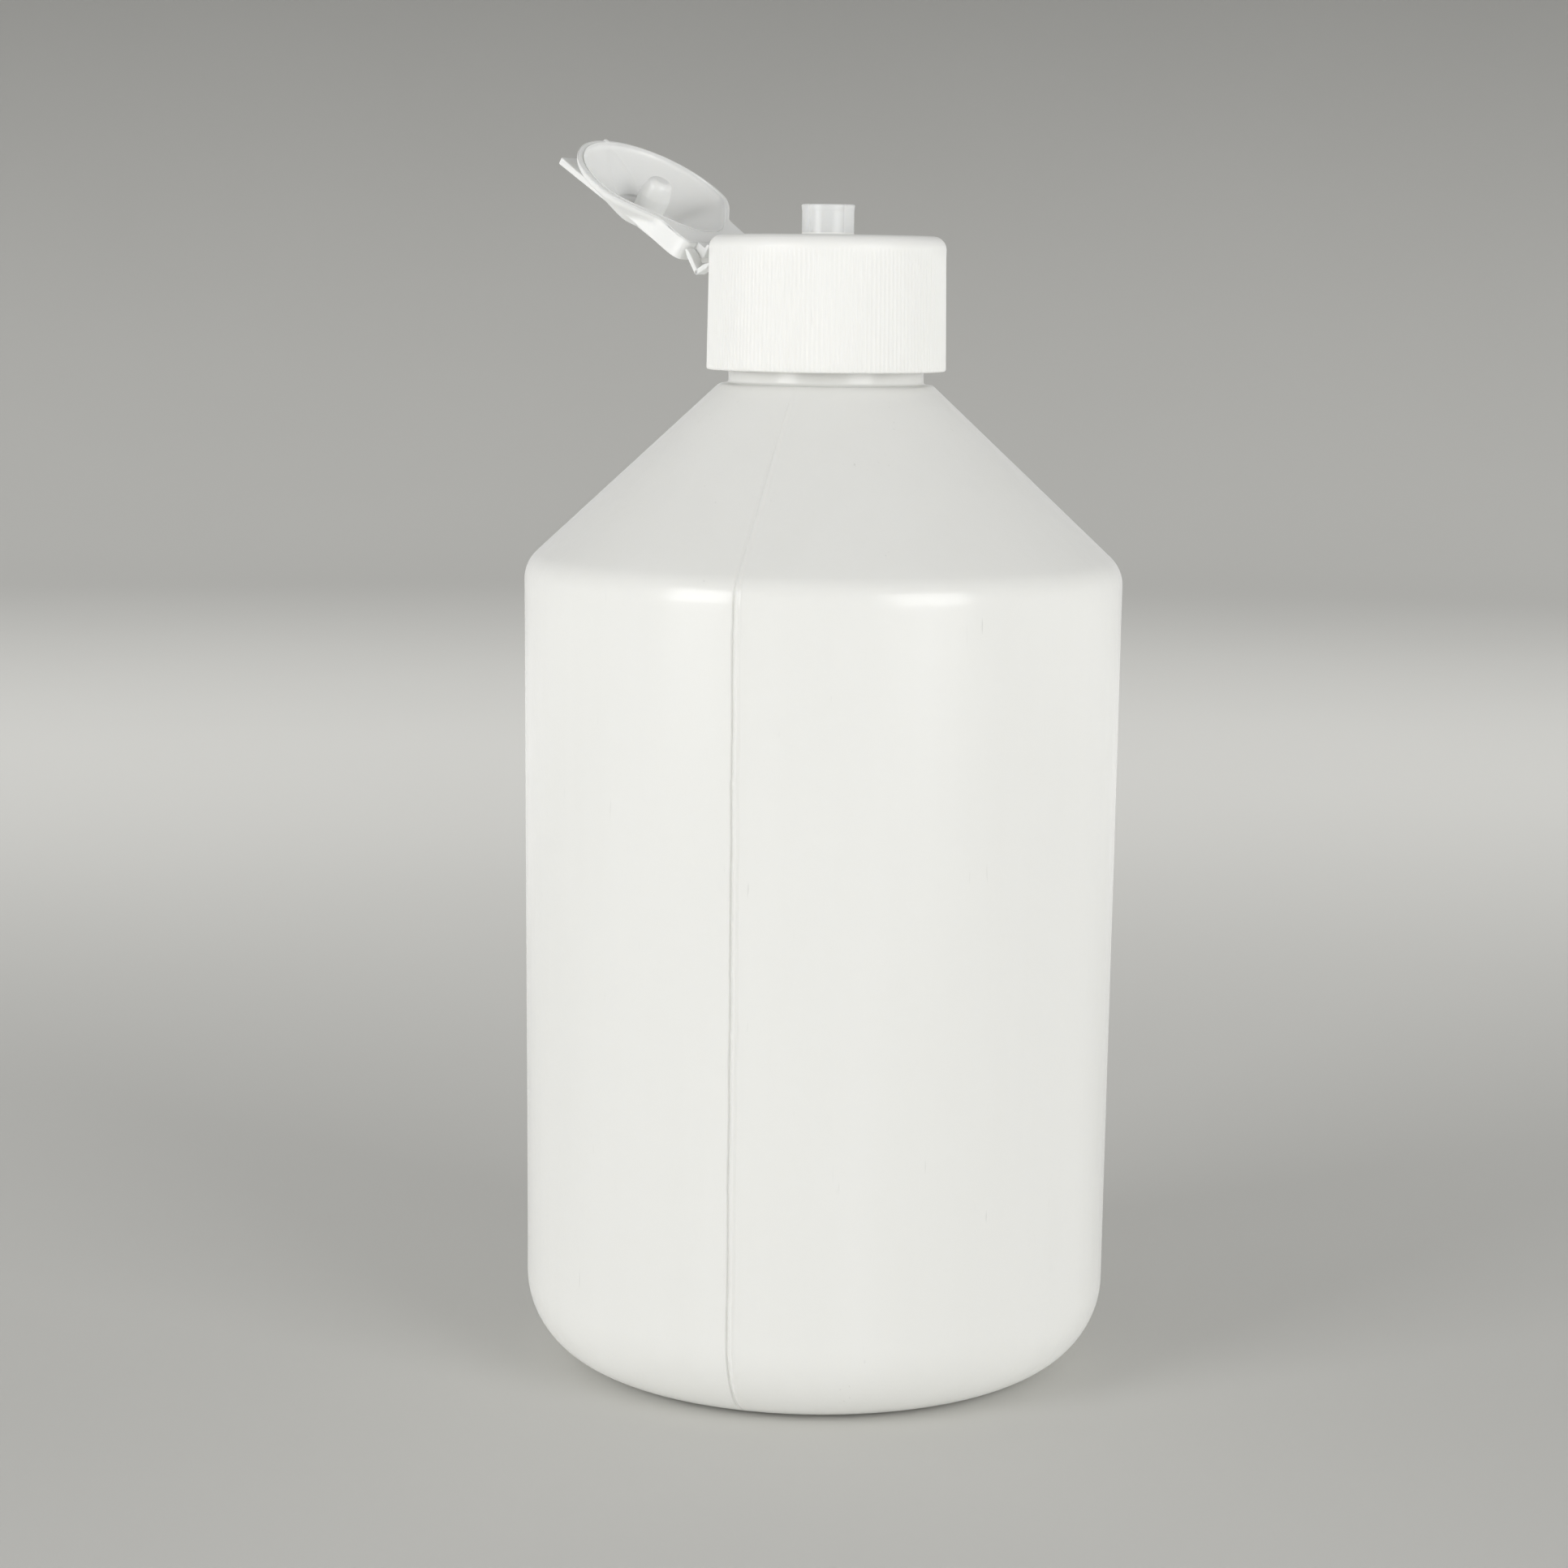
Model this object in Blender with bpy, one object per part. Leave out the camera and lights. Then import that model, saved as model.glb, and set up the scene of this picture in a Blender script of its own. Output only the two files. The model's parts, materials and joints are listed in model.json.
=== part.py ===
"""Squeeze bottle with a screw-on, one-piece flip-top cap whose lid stands open.

Frame: metres, +Z up, origin at the centre of the base.  The hinge of the lid lies
behind and to the left, HINGE_AZIMUTH round from +X.
"""
import math

import bmesh
import bpy
from mathutils import Matrix, Vector

MM = 0.001
TURN = 2.0 * math.pi

# Bottle body: a straight wall under a cone.
SHOULDER_RADIUS = 40.1 * MM      # where the wall and the cone would meet
SHOULDER_HEIGHT = 108.8 * MM
SHOULDER_FILLET = 4.8 * MM
WALL_TAPER = 0.7 * MM            # how much narrower the wall is at the base
CONE_ANGLE = math.radians(43.0)  # slope of the cone above the horizontal
BODY_WALL = 1.1 * MM
BASE_CORNER = 11.9 * MM
BASE_FOOT = 3.5 * MM             # width of the flat ring that the bottle stands on
BASE_PUSH_UP = 2.4 * MM
BASE_DISH = 9.0 * MM             # run of the slope between the foot and the push-up
BASE_DISH_FILLET = 8.0 * MM
BASE_INNER_FILLET = 4.0 * MM     # inside, over the foot
BASE_FOOT_FILLET = 2.0 * MM

# Neck finish, 28 mm, single-start thread.
THREAD_ROOT_RADIUS = 12.55 * MM
NECK_WALL = 1.65 * MM
NECK_ROOT_STEP = 0.45 * MM       # the neck's foot stands out this far from the thread root
NECK_ROOT_HEIGHT = 3.4 * MM
LEDGE_WIDTH = 1.2 * MM           # rounded step where the cone meets the neck
LEDGE_FILLET = 0.9 * MM
NECK_INNER_FILLET = 3.0 * MM     # inside, where the cone meets the neck
NECK_EDGE = 0.4 * MM             # rounding of the neck's outer corners
THREAD_DEPTH = 1.2 * MM
THREAD_PITCH = 4.233 * MM
THREAD_TURNS = 1.5
THREAD_TOP_DROP = 2.2 * MM       # from the sealing land to the thread's top end
THREAD_BASE_WIDTH = 2.3 * MM
THREAD_CREST_WIDTH = 1.0 * MM
NECK_HEIGHT = 17.1 * MM          # ledge to sealing land
THREAD_ROOT_SINK = 0.35 * MM     # a ridge's root, sunk into the wall that carries it
THREAD_END_SINK = 0.4            # share of that sink that a ridge's ends keep
THREAD_RUN_OUT = 0.15            # turns over which a ridge's ends fall away

# Cap.
CAP_WALL = 1.8 * MM
CAP_DRAFT = 0.25 * MM
CAP_HEIGHT = 17.8 * MM
CAP_TOP_FILLET = 1.8 * MM
DECK_THICKNESS = 1.3 * MM
MOUTH_FLARE = 0.4 * MM           # the bore is this much wider at the skirt's edge
MOUTH_DEPTH = 1.2 * MM           # over this height
EDGE = 0.3 * MM                  # rounding of small corners
CAP_THREAD_CLEARANCE = 0.45 * MM  # crest of either thread to the other's root
CAP_THREAD_TURNS = 1.25
CAP_THREAD_BASE_WIDTH = 1.6 * MM
CAP_THREAD_CREST_WIDTH = 0.7 * MM
CAP_THREAD_START = 0.1           # turns round from the neck thread's lower end
FLANK_CLEARANCE = 0.3 * MM
SEAL_CLEARANCE = 0.2 * MM
SEAL_WALL = 0.9 * MM
SEAL_LENGTH = 2.6 * MM
SEAT_GAP = 0.1 * MM              # between the gasket and what it sits on

# Spout on the deck.
SPOUT_RADIUS = 3.45 * MM
SPOUT_HEIGHT = 4.05 * MM
SPOUT_LIP = 0.12 * MM
SPOUT_LIP_DEPTH = 0.9 * MM
SPOUT_BORE_RADIUS = 2.75 * MM

# Gasket ring under the deck.
GASKET_THICKNESS = 1.0 * MM
GASKET_CLEARANCE = 0.3 * MM

# Hinge and lid.
HINGE_AZIMUTH = math.radians(139.0)
HINGE_REACH = 0.3 * MM           # hinge axis beyond the skirt
HINGE_DROP = 1.13 * MM           # hinge axis below the deck
LID_RISE = math.radians(32.5)    # slope of the open lid above the horizontal
LID_DECK_GAP = 0.2 * MM          # rim to deck when the lid is shut
RIM_SETBACK = 3.9 * MM           # the lid's rim, inwards from the cap's side
RIM_BAND = 1.3 * MM              # upright part of the lid's wall
LID_WALL = 0.85 * MM
DOME_RIM_FILLET = 1.2 * MM
DOME_CROWN_FILLET = 2.0 * MM
CROWN_SETBACK = 6.5 * MM         # the lid's flat top, inwards from its rim
SPOUT_HEADROOM = 0.3 * MM
TONGUE_HALF_WIDTH = 4.6 * MM
TONGUE_THICKNESS = 0.8 * MM
TAB_REACH = 1.6 * MM             # the tab's tip, beyond the rim
TONGUE_BACK = 6.0 * MM
TONGUE_PROUD = 0.1 * MM          # stands out of the crown
TAB_ROOT = 1.4 * MM              # the tab's inner face starts this far inside the rim
BLOCK_HALF_WIDTH = 6.9 * MM
BLOCK_HEIGHT = 2.8 * MM
BLOCK_RAMP = 2.0 * MM            # run of the slope from the block up to the tongue
BLOCK_RAMP_SHARE = 0.5           # share of the height left that the slope climbs
RIM_SKIN = 0.01 * MM             # added bodies stay this far behind the rim's plane
KNUCKLE_HALF_WIDTH = 4.8 * MM
KNUCKLE_START = 0.3 * MM         # hinge axis to the middle of the lid's back edge
KNUCKLE_LENGTH = 4.0 * MM
KNUCKLE_DEPTH = 1.2 * MM         # upright part of its back edge
KNUCKLE_SLANT = 0.9 * MM         # run of the slanting part below it
LIP_DROP = 0.65 * MM             # the lip stops this far short of the hinge axis
LIP_WIDTH = 0.4 * MM
STRAP_NOTCH = 2.3 * MM           # hinge axis to the notched corners of the back edge
PIN_CLEARANCE = 0.55 * MM        # in the spout's bore
PIN_TAPER = 0.6 * MM             # narrower at the tip, to swing into the bore
PIN_TIP_DROP = 0.2 * MM          # shut, the tip stops this far above the deck's top
PIN_TIP_FILLET = 0.9 * MM
PIN_ROOT_SINK = 0.3 * MM         # into the lid's crown

# Lug and film that carry the lid.
LUG_HALF_WIDTH = 4.7 * MM
LUG_HEIGHT = 1.6 * MM
LUG_DEPTH = 1.6 * MM             # sunk into the skirt
LUG_PROUD = 0.15 * MM            # stands out of the skirt
LUG_FACE_SHARE = 0.6             # height of its outer face, of its whole height
FILM_HALF_WIDTH = 4.4 * MM
FILM_THICKNESS = 0.3 * MM
FILM_GAP = 0.08 * MM
FILM_DROP = 0.3 * MM             # below the hinge axis, at the lug
FILM_LID_DROP = 0.9 * MM         # below the hinge axis, at the open lid

# Spring straps: each is two panels that fold in a V when the lid is open.
# Pivots are given as (outwards, upwards) from the hinge axis.
STRAP_WIDTH = 1.7 * MM
STRAP_INNER_EDGE = 5.1 * MM
STRAP_THICKNESS = 0.5 * MM
STRAP_THIN_SHARE = 0.6           # thickness at a panel's ends, of its whole thickness
STRAP_THIN_LENGTH = 0.35 * MM
STRAP_ROOT = Vector((-0.9, -2.9)) * MM
STRAP_FOLD = Vector((1.15, -3.9)) * MM
STRAP_TIP_ON_LID = Vector((1.9, -2.5)) * MM  # (along the lid, towards its inside)
STRAP_ROOT_GAP = 0.5 * MM
STRAP_TIP_GAP = 0.2 * MM
STRAP_FOLD_GAP = 0.2 * MM

BODY_STEPS = 64
CAP_STEPS = 48
LID_STEPS = 48
SMALL_STEPS = 20
THREAD_STEPS_PER_TURN = 28

# Sizes that follow from those above.
NECK_BORE_RADIUS = THREAD_ROOT_RADIUS - NECK_WALL
NECK_ROOT_RADIUS = THREAD_ROOT_RADIUS + NECK_ROOT_STEP
LEDGE_RADIUS = NECK_ROOT_RADIUS + LEDGE_WIDTH
THREAD_CREST_RADIUS = THREAD_ROOT_RADIUS + THREAD_DEPTH
CAP_BORE_RADIUS = THREAD_CREST_RADIUS + CAP_THREAD_CLEARANCE
CAP_RADIUS = CAP_BORE_RADIUS + CAP_WALL
SEAL_RADIUS = NECK_BORE_RADIUS - SEAL_CLEARANCE

# Heights that follow from them.
CONE_RISE = math.tan(CONE_ANGLE)
LEDGE_Z = SHOULDER_HEIGHT + (SHOULDER_RADIUS - LEDGE_RADIUS) * CONE_RISE
LAND_Z = LEDGE_Z + NECK_HEIGHT
DECK_UNDER_Z = LAND_Z + GASKET_THICKNESS + 2.0 * SEAT_GAP
DECK_Z = DECK_UNDER_Z + DECK_THICKNESS
SKIRT_Z = DECK_Z - CAP_HEIGHT
SPOUT_TOP_Z = DECK_Z + SPOUT_HEIGHT
THREAD_FOOT_Z = LAND_Z - THREAD_TOP_DROP - THREAD_TURNS * THREAD_PITCH

# The hinge axis, and lid sizes measured from it.
HINGE_RADIUS = CAP_RADIUS + HINGE_REACH
HINGE_Z = DECK_Z - HINGE_DROP
RIM_LEVEL = -HINGE_DROP - LID_DECK_GAP
RIM_RADIUS = CAP_RADIUS - RIM_SETBACK
CROWN_RADIUS = RIM_RADIUS - CROWN_SETBACK
TONGUE_FRONT = RIM_RADIUS + TAB_REACH
PIN_RADIUS = SPOUT_BORE_RADIUS - PIN_CLEARANCE
PIN_TIP_RADIUS = PIN_RADIUS - PIN_TAPER
LID_FLOOR = SPOUT_HEIGHT + SPOUT_HEADROOM - LID_DECK_GAP
LID_DEPTH = LID_FLOOR + LID_WALL


def clear_scene():
    for obj in list(bpy.data.objects):
        bpy.data.objects.remove(obj, do_unlink=True)


def finish_material(name, colour, roughness):
    material = bpy.data.materials.new(name)
    material.use_nodes = True
    shader = material.node_tree.nodes["Principled BSDF"]
    shader.inputs["Base Color"].default_value = (*colour, 1.0)
    shader.inputs["Roughness"].default_value = roughness
    shader.inputs["Metallic"].default_value = 0.0
    material.diffuse_color = (*colour, 1.0)
    return material


def link(name, mesh, material, parent=None):
    obj = bpy.data.objects.new(name, mesh)
    bpy.context.collection.objects.link(obj)
    obj.data.materials.append(material)
    obj.parent = parent
    return obj


def frame_empty(name, location, rotation, parent=None):
    empty = bpy.data.objects.new(name, None)
    bpy.context.collection.objects.link(empty)
    empty.location = location
    empty.rotation_euler = rotation
    empty.parent = parent
    return empty


def rounded(corners, closed=False):
    """Outline through (r, z, fillet, steps) corners, each turned by a tangent arc."""
    points = []
    count = len(corners)
    for index, (r, z, fillet, steps) in enumerate(corners):
        here = Vector((r, z))
        is_end = not closed and index in (0, count - 1)
        if fillet <= 0.0 or is_end:
            points.append(here)
            continue
        before = Vector(corners[index - 1][:2]) - here
        after = Vector(corners[(index + 1) % count][:2]) - here
        half = before.angle(after) / 2.0
        middle = (before.normalized() + after.normalized()).normalized()
        centre = here + middle * (fillet / math.sin(half))
        start = here + before.normalized() * (fillet / math.tan(half)) - centre
        end = here + after.normalized() * (fillet / math.tan(half)) - centre
        sweep = start.angle_signed(end)
        for step in range(steps + 1):
            turned = Matrix.Rotation(-sweep * step / steps, 2) @ start
            points.append(centre + turned)
    return points


def outline_mesh(name, points, closed):
    mesh = bpy.data.meshes.new(name)
    edges = [(i, i + 1) for i in range(len(points) - 1)]
    if closed:
        edges.append((len(points) - 1, 0))
    mesh.from_pydata([(p.x, 0.0, p.y) for p in points], edges, [])
    return mesh


def turned_solid(name, corners, steps, material, closed=False, parent=None):
    """A solid of revolution about its own Z axis."""
    points = rounded(corners, closed)
    obj = link(name, outline_mesh(name, points, closed), material, parent)
    screw = obj.modifiers.new("Turn", "SCREW")
    screw.steps = steps
    screw.render_steps = steps
    screw.use_merge_vertices = True
    screw.merge_threshold = 0.00001
    screw.use_smooth_shade = True
    return obj


def loft_mesh(name, rings, close_ends=True):
    """Closed mesh from rings of points, joined in order."""
    bm = bmesh.new()
    rows = [[bm.verts.new(p) for p in ring] for ring in rings]
    size = len(rows[0])
    for row, following in zip(rows, rows[1:]):
        for k in range(size):
            m = (k + 1) % size
            bm.faces.new((row[k], row[m], following[m], following[k]))
    if close_ends:
        bm.faces.new(rows[0][::-1])
        bm.faces.new(rows[-1])
    bmesh.ops.recalc_face_normals(bm, faces=bm.faces)
    mesh = bpy.data.meshes.new(name)
    bm.to_mesh(mesh)
    bm.free()
    return mesh


def prism_mesh(name, outline, half_width, centre=0.0):
    """A flat outline in X and Z, given its thickness along Y."""
    near = [(x, centre - half_width, z) for x, z in outline]
    far = [(x, centre + half_width, z) for x, z in outline]
    return loft_mesh(name, [near, far])


def ridge_mesh(name, inner, outer, widths, turns, start_z, start_turn, crest_out):
    """A helical thread ridge whose height runs out to nothing at both ends.

    widths are (at its root, at its crest).  The root is sunk into the wall, inwards
    for a thread on a neck (crest_out) and outwards for a thread inside a cap.
    """
    root = inner - THREAD_ROOT_SINK if crest_out else outer + THREAD_ROOT_SINK
    crest = outer if crest_out else inner
    wall = inner if crest_out else outer
    hidden = wall + (root - wall) * THREAD_END_SINK
    steps = round(turns * THREAD_STEPS_PER_TURN)
    rings = []
    for step in range(steps + 1):
        share = step / steps
        angle = TURN * (start_turn + turns * share)
        from_end = min(share, 1.0 - share) * turns
        ease = min(1.0, from_end / THREAD_RUN_OUT)
        tip = hidden + (crest - hidden) * ease
        z = start_z + turns * share * THREAD_PITCH
        base, top = widths[0] / 2.0, widths[1] / 2.0
        section = [(root, z - base), (tip, z - top), (tip, z + top), (root, z + base)]
        rings.append([(r * math.cos(angle), r * math.sin(angle), h) for r, h in section])
    return loft_mesh(name, rings)


def combine(target, tool, operation):
    """Keep the tool hidden and join it to, or cut it from, the target."""
    tool.hide_render = True
    tool.display_type = "WIRE"
    tool.hide_viewport = False
    modifier = target.modifiers.new(tool.name, "BOOLEAN")
    modifier.operation = operation
    modifier.solver = "EXACT"
    modifier.object = tool


def smooth(obj):
    for polygon in obj.data.polygons:
        polygon.use_smooth = True


def make_bottle(material):
    base_radius = SHOULDER_RADIUS - WALL_TAPER
    foot_outer = base_radius - BASE_CORNER
    foot_inner = foot_outer - BASE_FOOT
    dish = foot_inner - BASE_DISH
    inset = math.tan((math.pi / 2.0 - CONE_ANGLE) / 2.0)
    inner_shoulder = SHOULDER_RADIUS - BODY_WALL
    inner_shoulder_z = SHOULDER_HEIGHT - BODY_WALL * inset
    inner_neck_z = inner_shoulder_z + (inner_shoulder - NECK_BORE_RADIUS) * CONE_RISE
    step_z = LEDGE_Z + NECK_ROOT_HEIGHT
    root_step = NECK_ROOT_RADIUS - THREAD_ROOT_RADIUS
    corners = [
        (0.0, BASE_PUSH_UP + BODY_WALL, 0.0, 1),
        (dish, BASE_PUSH_UP + BODY_WALL, BASE_DISH_FILLET, 2),
        (foot_inner, BODY_WALL, BASE_INNER_FILLET, 2),
        (base_radius - BODY_WALL, BODY_WALL, BASE_CORNER - BODY_WALL, 6),
        (inner_shoulder, inner_shoulder_z, SHOULDER_FILLET, 3),
        (NECK_BORE_RADIUS, inner_neck_z, NECK_INNER_FILLET, 2),
        (NECK_BORE_RADIUS, LAND_Z, EDGE, 1),
        (THREAD_ROOT_RADIUS, LAND_Z, NECK_EDGE, 2),
        (THREAD_ROOT_RADIUS, step_z + root_step, 0.0, 1),
        (NECK_ROOT_RADIUS, step_z, 0.0, 1),
        (NECK_ROOT_RADIUS, LEDGE_Z, NECK_EDGE, 2),
        (LEDGE_RADIUS, LEDGE_Z, LEDGE_FILLET, 2),
        (SHOULDER_RADIUS, SHOULDER_HEIGHT, SHOULDER_FILLET, 5),
        (base_radius, 0.0, BASE_CORNER, 8),
        (foot_inner, 0.0, BASE_FOOT_FILLET, 2),
        (dish, BASE_PUSH_UP, BASE_DISH_FILLET, 2),
        (0.0, BASE_PUSH_UP, 0.0, 1),
    ]
    bottle = turned_solid("bottle", corners, BODY_STEPS, material)
    widths = (THREAD_BASE_WIDTH, THREAD_CREST_WIDTH)
    mesh = ridge_mesh("neck_thread", THREAD_ROOT_RADIUS, THREAD_CREST_RADIUS, widths,
                      THREAD_TURNS, THREAD_FOOT_Z, 0.0, crest_out=True)
    combine(bottle, link("neck_thread_tool", mesh, material), "UNION")
    return bottle


def make_cap(material, hinge):
    top_radius = CAP_RADIUS - CAP_DRAFT
    lip_radius = SPOUT_RADIUS + SPOUT_LIP
    corners = [
        (lip_radius, SPOUT_TOP_Z, 0.0, 1),
        (SPOUT_RADIUS, SPOUT_TOP_Z - SPOUT_LIP_DEPTH, 0.0, 1),
        (SPOUT_RADIUS, DECK_Z, EDGE, 2),
        (top_radius, DECK_Z, CAP_TOP_FILLET, 5),
        (CAP_RADIUS, SKIRT_Z, EDGE, 2),
        (CAP_BORE_RADIUS + MOUTH_FLARE, SKIRT_Z, 0.0, 1),
        (CAP_BORE_RADIUS, SKIRT_Z + MOUTH_DEPTH, 0.0, 1),
        (CAP_BORE_RADIUS, DECK_UNDER_Z, EDGE, 1),
        (SEAL_RADIUS, DECK_UNDER_Z, 0.0, 1),
        (SEAL_RADIUS, DECK_UNDER_Z - SEAL_LENGTH, EDGE, 2),
        (SEAL_RADIUS - SEAL_WALL, DECK_UNDER_Z - SEAL_LENGTH, 0.0, 1),
        (SEAL_RADIUS - SEAL_WALL, DECK_UNDER_Z, EDGE, 1),
        (SPOUT_BORE_RADIUS, DECK_UNDER_Z, 0.0, 1),
        (SPOUT_BORE_RADIUS, SPOUT_TOP_Z, 0.0, 1),
    ]
    cap = turned_solid("cap", corners, CAP_STEPS, material, closed=True)
    inner = THREAD_ROOT_RADIUS + CAP_THREAD_CLEARANCE
    widths = (CAP_THREAD_BASE_WIDTH, CAP_THREAD_CREST_WIDTH)
    engaged = (inner - THREAD_ROOT_RADIUS) / THREAD_DEPTH
    neck_width = THREAD_BASE_WIDTH + (THREAD_CREST_WIDTH - THREAD_BASE_WIDTH) * engaged
    below = (neck_width + CAP_THREAD_CREST_WIDTH) / 2.0 + FLANK_CLEARANCE
    start_z = THREAD_FOOT_Z + CAP_THREAD_START * THREAD_PITCH - below
    mesh = ridge_mesh("cap_thread", inner, CAP_BORE_RADIUS, widths, CAP_THREAD_TURNS,
                      start_z, CAP_THREAD_START, crest_out=False)
    combine(cap, link("cap_thread_tool", mesh, material), "UNION")
    face = -HINGE_REACH + LUG_PROUD
    lug = [(face - LUG_DEPTH, 0.0), (face, 0.0), (face, -LUG_HEIGHT * LUG_FACE_SHARE),
           (face - LUG_DEPTH, -LUG_HEIGHT)]
    mesh = prism_mesh("hinge_lug", lug, LUG_HALF_WIDTH)
    combine(cap, link("hinge_lug_tool", mesh, material, hinge), "UNION")
    return cap


def make_gasket(material):
    inner = SEAL_RADIUS + GASKET_CLEARANCE
    outer = CAP_BORE_RADIUS - GASKET_CLEARANCE
    low = LAND_Z + SEAT_GAP
    high = low + GASKET_THICKNESS
    corners = [(outer, high, 0.0, 1), (outer, low, 0.0, 1),
               (inner, low, 0.0, 1), (inner, high, 0.0, 1)]
    return turned_solid("gasket", corners, CAP_STEPS, material, closed=True)


def dome_corners(inset):
    """Half outline of the lid's dome, grown inwards by inset, rim plane at zero.

    The shares of the inset keep the slanting wall about as thick as the rest.
    """
    depth = LID_DEPTH - inset
    return [
        (RIM_RADIUS - inset, 0.0, 0.0, 1),
        (RIM_RADIUS - inset, -RIM_BAND + 0.4 * inset, DOME_RIM_FILLET, 3),
        (CROWN_RADIUS - 0.3 * inset, -depth, DOME_CROWN_FILLET, 3),
        (0.0, -depth, 0.0, 1),
    ]


def make_lid(material, swing):
    middle = frame_empty("lid_middle", (HINGE_RADIUS, 0.0, RIM_LEVEL), (0, 0, 0), swing)
    shell = [(0.0, 0.0, 0.0, 1)] + dome_corners(0.0)
    lid = turned_solid("lid", shell, LID_STEPS, material, parent=middle)
    under = -LID_DEPTH
    top = under + TONGUE_THICKNESS
    tongue = [(-TONGUE_BACK, under - TONGUE_PROUD), (TONGUE_FRONT, under - TONGUE_PROUD),
              (TONGUE_FRONT, top), (RIM_RADIUS - TAB_ROOT, top), (-TONGUE_BACK, top)]
    mesh = prism_mesh("tongue", tongue, TONGUE_HALF_WIDTH)
    combine(lid, link("tongue_tool", mesh, material, middle), "UNION")
    back = -HINGE_RADIUS
    notch = back + STRAP_NOTCH
    foot = -BLOCK_HEIGHT - BLOCK_RAMP_SHARE * (LID_DEPTH - BLOCK_HEIGHT)
    block = [(notch, -RIM_SKIN), (notch, -BLOCK_HEIGHT), (-TONGUE_BACK - BLOCK_RAMP, foot),
             (-TONGUE_BACK, foot), (-TONGUE_BACK, -RIM_SKIN)]
    mesh = prism_mesh("block", block, BLOCK_HALF_WIDTH)
    combine(lid, link("block_tool", mesh, material, middle), "UNION")
    edge = back + KNUCKLE_START
    lip = -RIM_LEVEL - LIP_DROP
    far = edge + KNUCKLE_LENGTH
    under = TONGUE_PROUD - BLOCK_HEIGHT
    knuckle = [(edge, lip), (edge, -KNUCKLE_DEPTH), (edge + KNUCKLE_SLANT, under),
               (far, under), (far, -2.0 * RIM_SKIN), (edge + LIP_WIDTH, -2.0 * RIM_SKIN),
               (edge + LIP_WIDTH, lip)]
    mesh = prism_mesh("knuckle", knuckle, KNUCKLE_HALF_WIDTH)
    combine(lid, link("knuckle_tool", mesh, material, middle), "UNION")
    hollow = [(0.0, 1.0 * MM, 0.0, 1), (RIM_RADIUS - LID_WALL, 1.0 * MM, 0.0, 1)]
    hollow += dome_corners(LID_WALL)[1:]
    cutter = turned_solid("cavity_tool", hollow, LID_STEPS, material, parent=middle)
    combine(lid, cutter, "DIFFERENCE")
    tip = LID_DECK_GAP - PIN_TIP_DROP
    full = -SPOUT_HEIGHT + LID_DECK_GAP + PIN_TIP_DROP
    root = -LID_FLOOR - PIN_ROOT_SINK
    pin = [(0.0, tip, 0.0, 1), (PIN_TIP_RADIUS, tip, PIN_TIP_FILLET, 3),
           (PIN_RADIUS, full, 0.0, 1), (PIN_RADIUS, root, 0.0, 1), (0.0, root, 0.0, 1)]
    tool = turned_solid("pin_tool", pin, SMALL_STEPS, material, parent=middle)
    combine(lid, tool, "UNION")
    return lid


def panel(name, start, end, material, side, hinge, pivot):
    """One strap panel between two points, its origin on the pivot it turns about."""
    along = (end - start).normalized()
    across = Vector((-along.y, along.x)) * STRAP_THICKNESS / 2.0
    thin = across * STRAP_THIN_SHARE
    neck = along * STRAP_THIN_LENGTH
    outline = [start + thin, start + neck + across, end - neck + across, end + thin,
               end - thin, end - neck - across, start + neck - across, start - thin]
    outline = [(p.x - pivot.x, p.y - pivot.y) for p in outline]
    centre = side * (STRAP_INNER_EDGE + STRAP_WIDTH / 2.0)
    mesh = prism_mesh(name, outline, STRAP_WIDTH / 2.0, centre)
    obj = link(name, mesh, material, hinge)
    obj.location = (pivot.x, 0.0, pivot.y)
    smooth(obj)
    return obj


def make_straps(material, hinge):
    turn = Matrix.Rotation(LID_RISE, 2)
    tip = turn @ STRAP_TIP_ON_LID
    lower = (STRAP_FOLD - STRAP_ROOT).normalized()
    upper = (tip - STRAP_FOLD).normalized()
    for side, label in ((1.0, "left"), (-1.0, "right")):
        panel(f"strap_root_{label}", STRAP_ROOT + lower * STRAP_ROOT_GAP,
              STRAP_FOLD - lower * STRAP_FOLD_GAP, material, side, hinge, STRAP_ROOT)
        panel(f"strap_tip_{label}", STRAP_FOLD + upper * STRAP_FOLD_GAP,
              tip - upper * STRAP_TIP_GAP, material, side, hinge, tip)
    return tip


def make_film(material, hinge):
    """A thin web from the lug's face to the lid's back edge, over the hinge line."""
    turn = Matrix.Rotation(LID_RISE, 2)
    lug_end = -HINGE_REACH + LUG_PROUD + FILM_GAP
    lid_end = KNUCKLE_START - FILM_GAP
    half = FILM_THICKNESS / 2.0
    outline = [Vector((lug_end, -FILM_DROP + half)),
               turn @ Vector((lid_end, -FILM_LID_DROP + 2.0 * half)),
               turn @ Vector((lid_end, -FILM_LID_DROP - half)),
               Vector((lug_end, -FILM_DROP - half))]
    mesh = prism_mesh("hinge_film", [(p.x, p.y) for p in outline], FILM_HALF_WIDTH)
    film = link("hinge_film", mesh, material, hinge)
    smooth(film)
    return film


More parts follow.
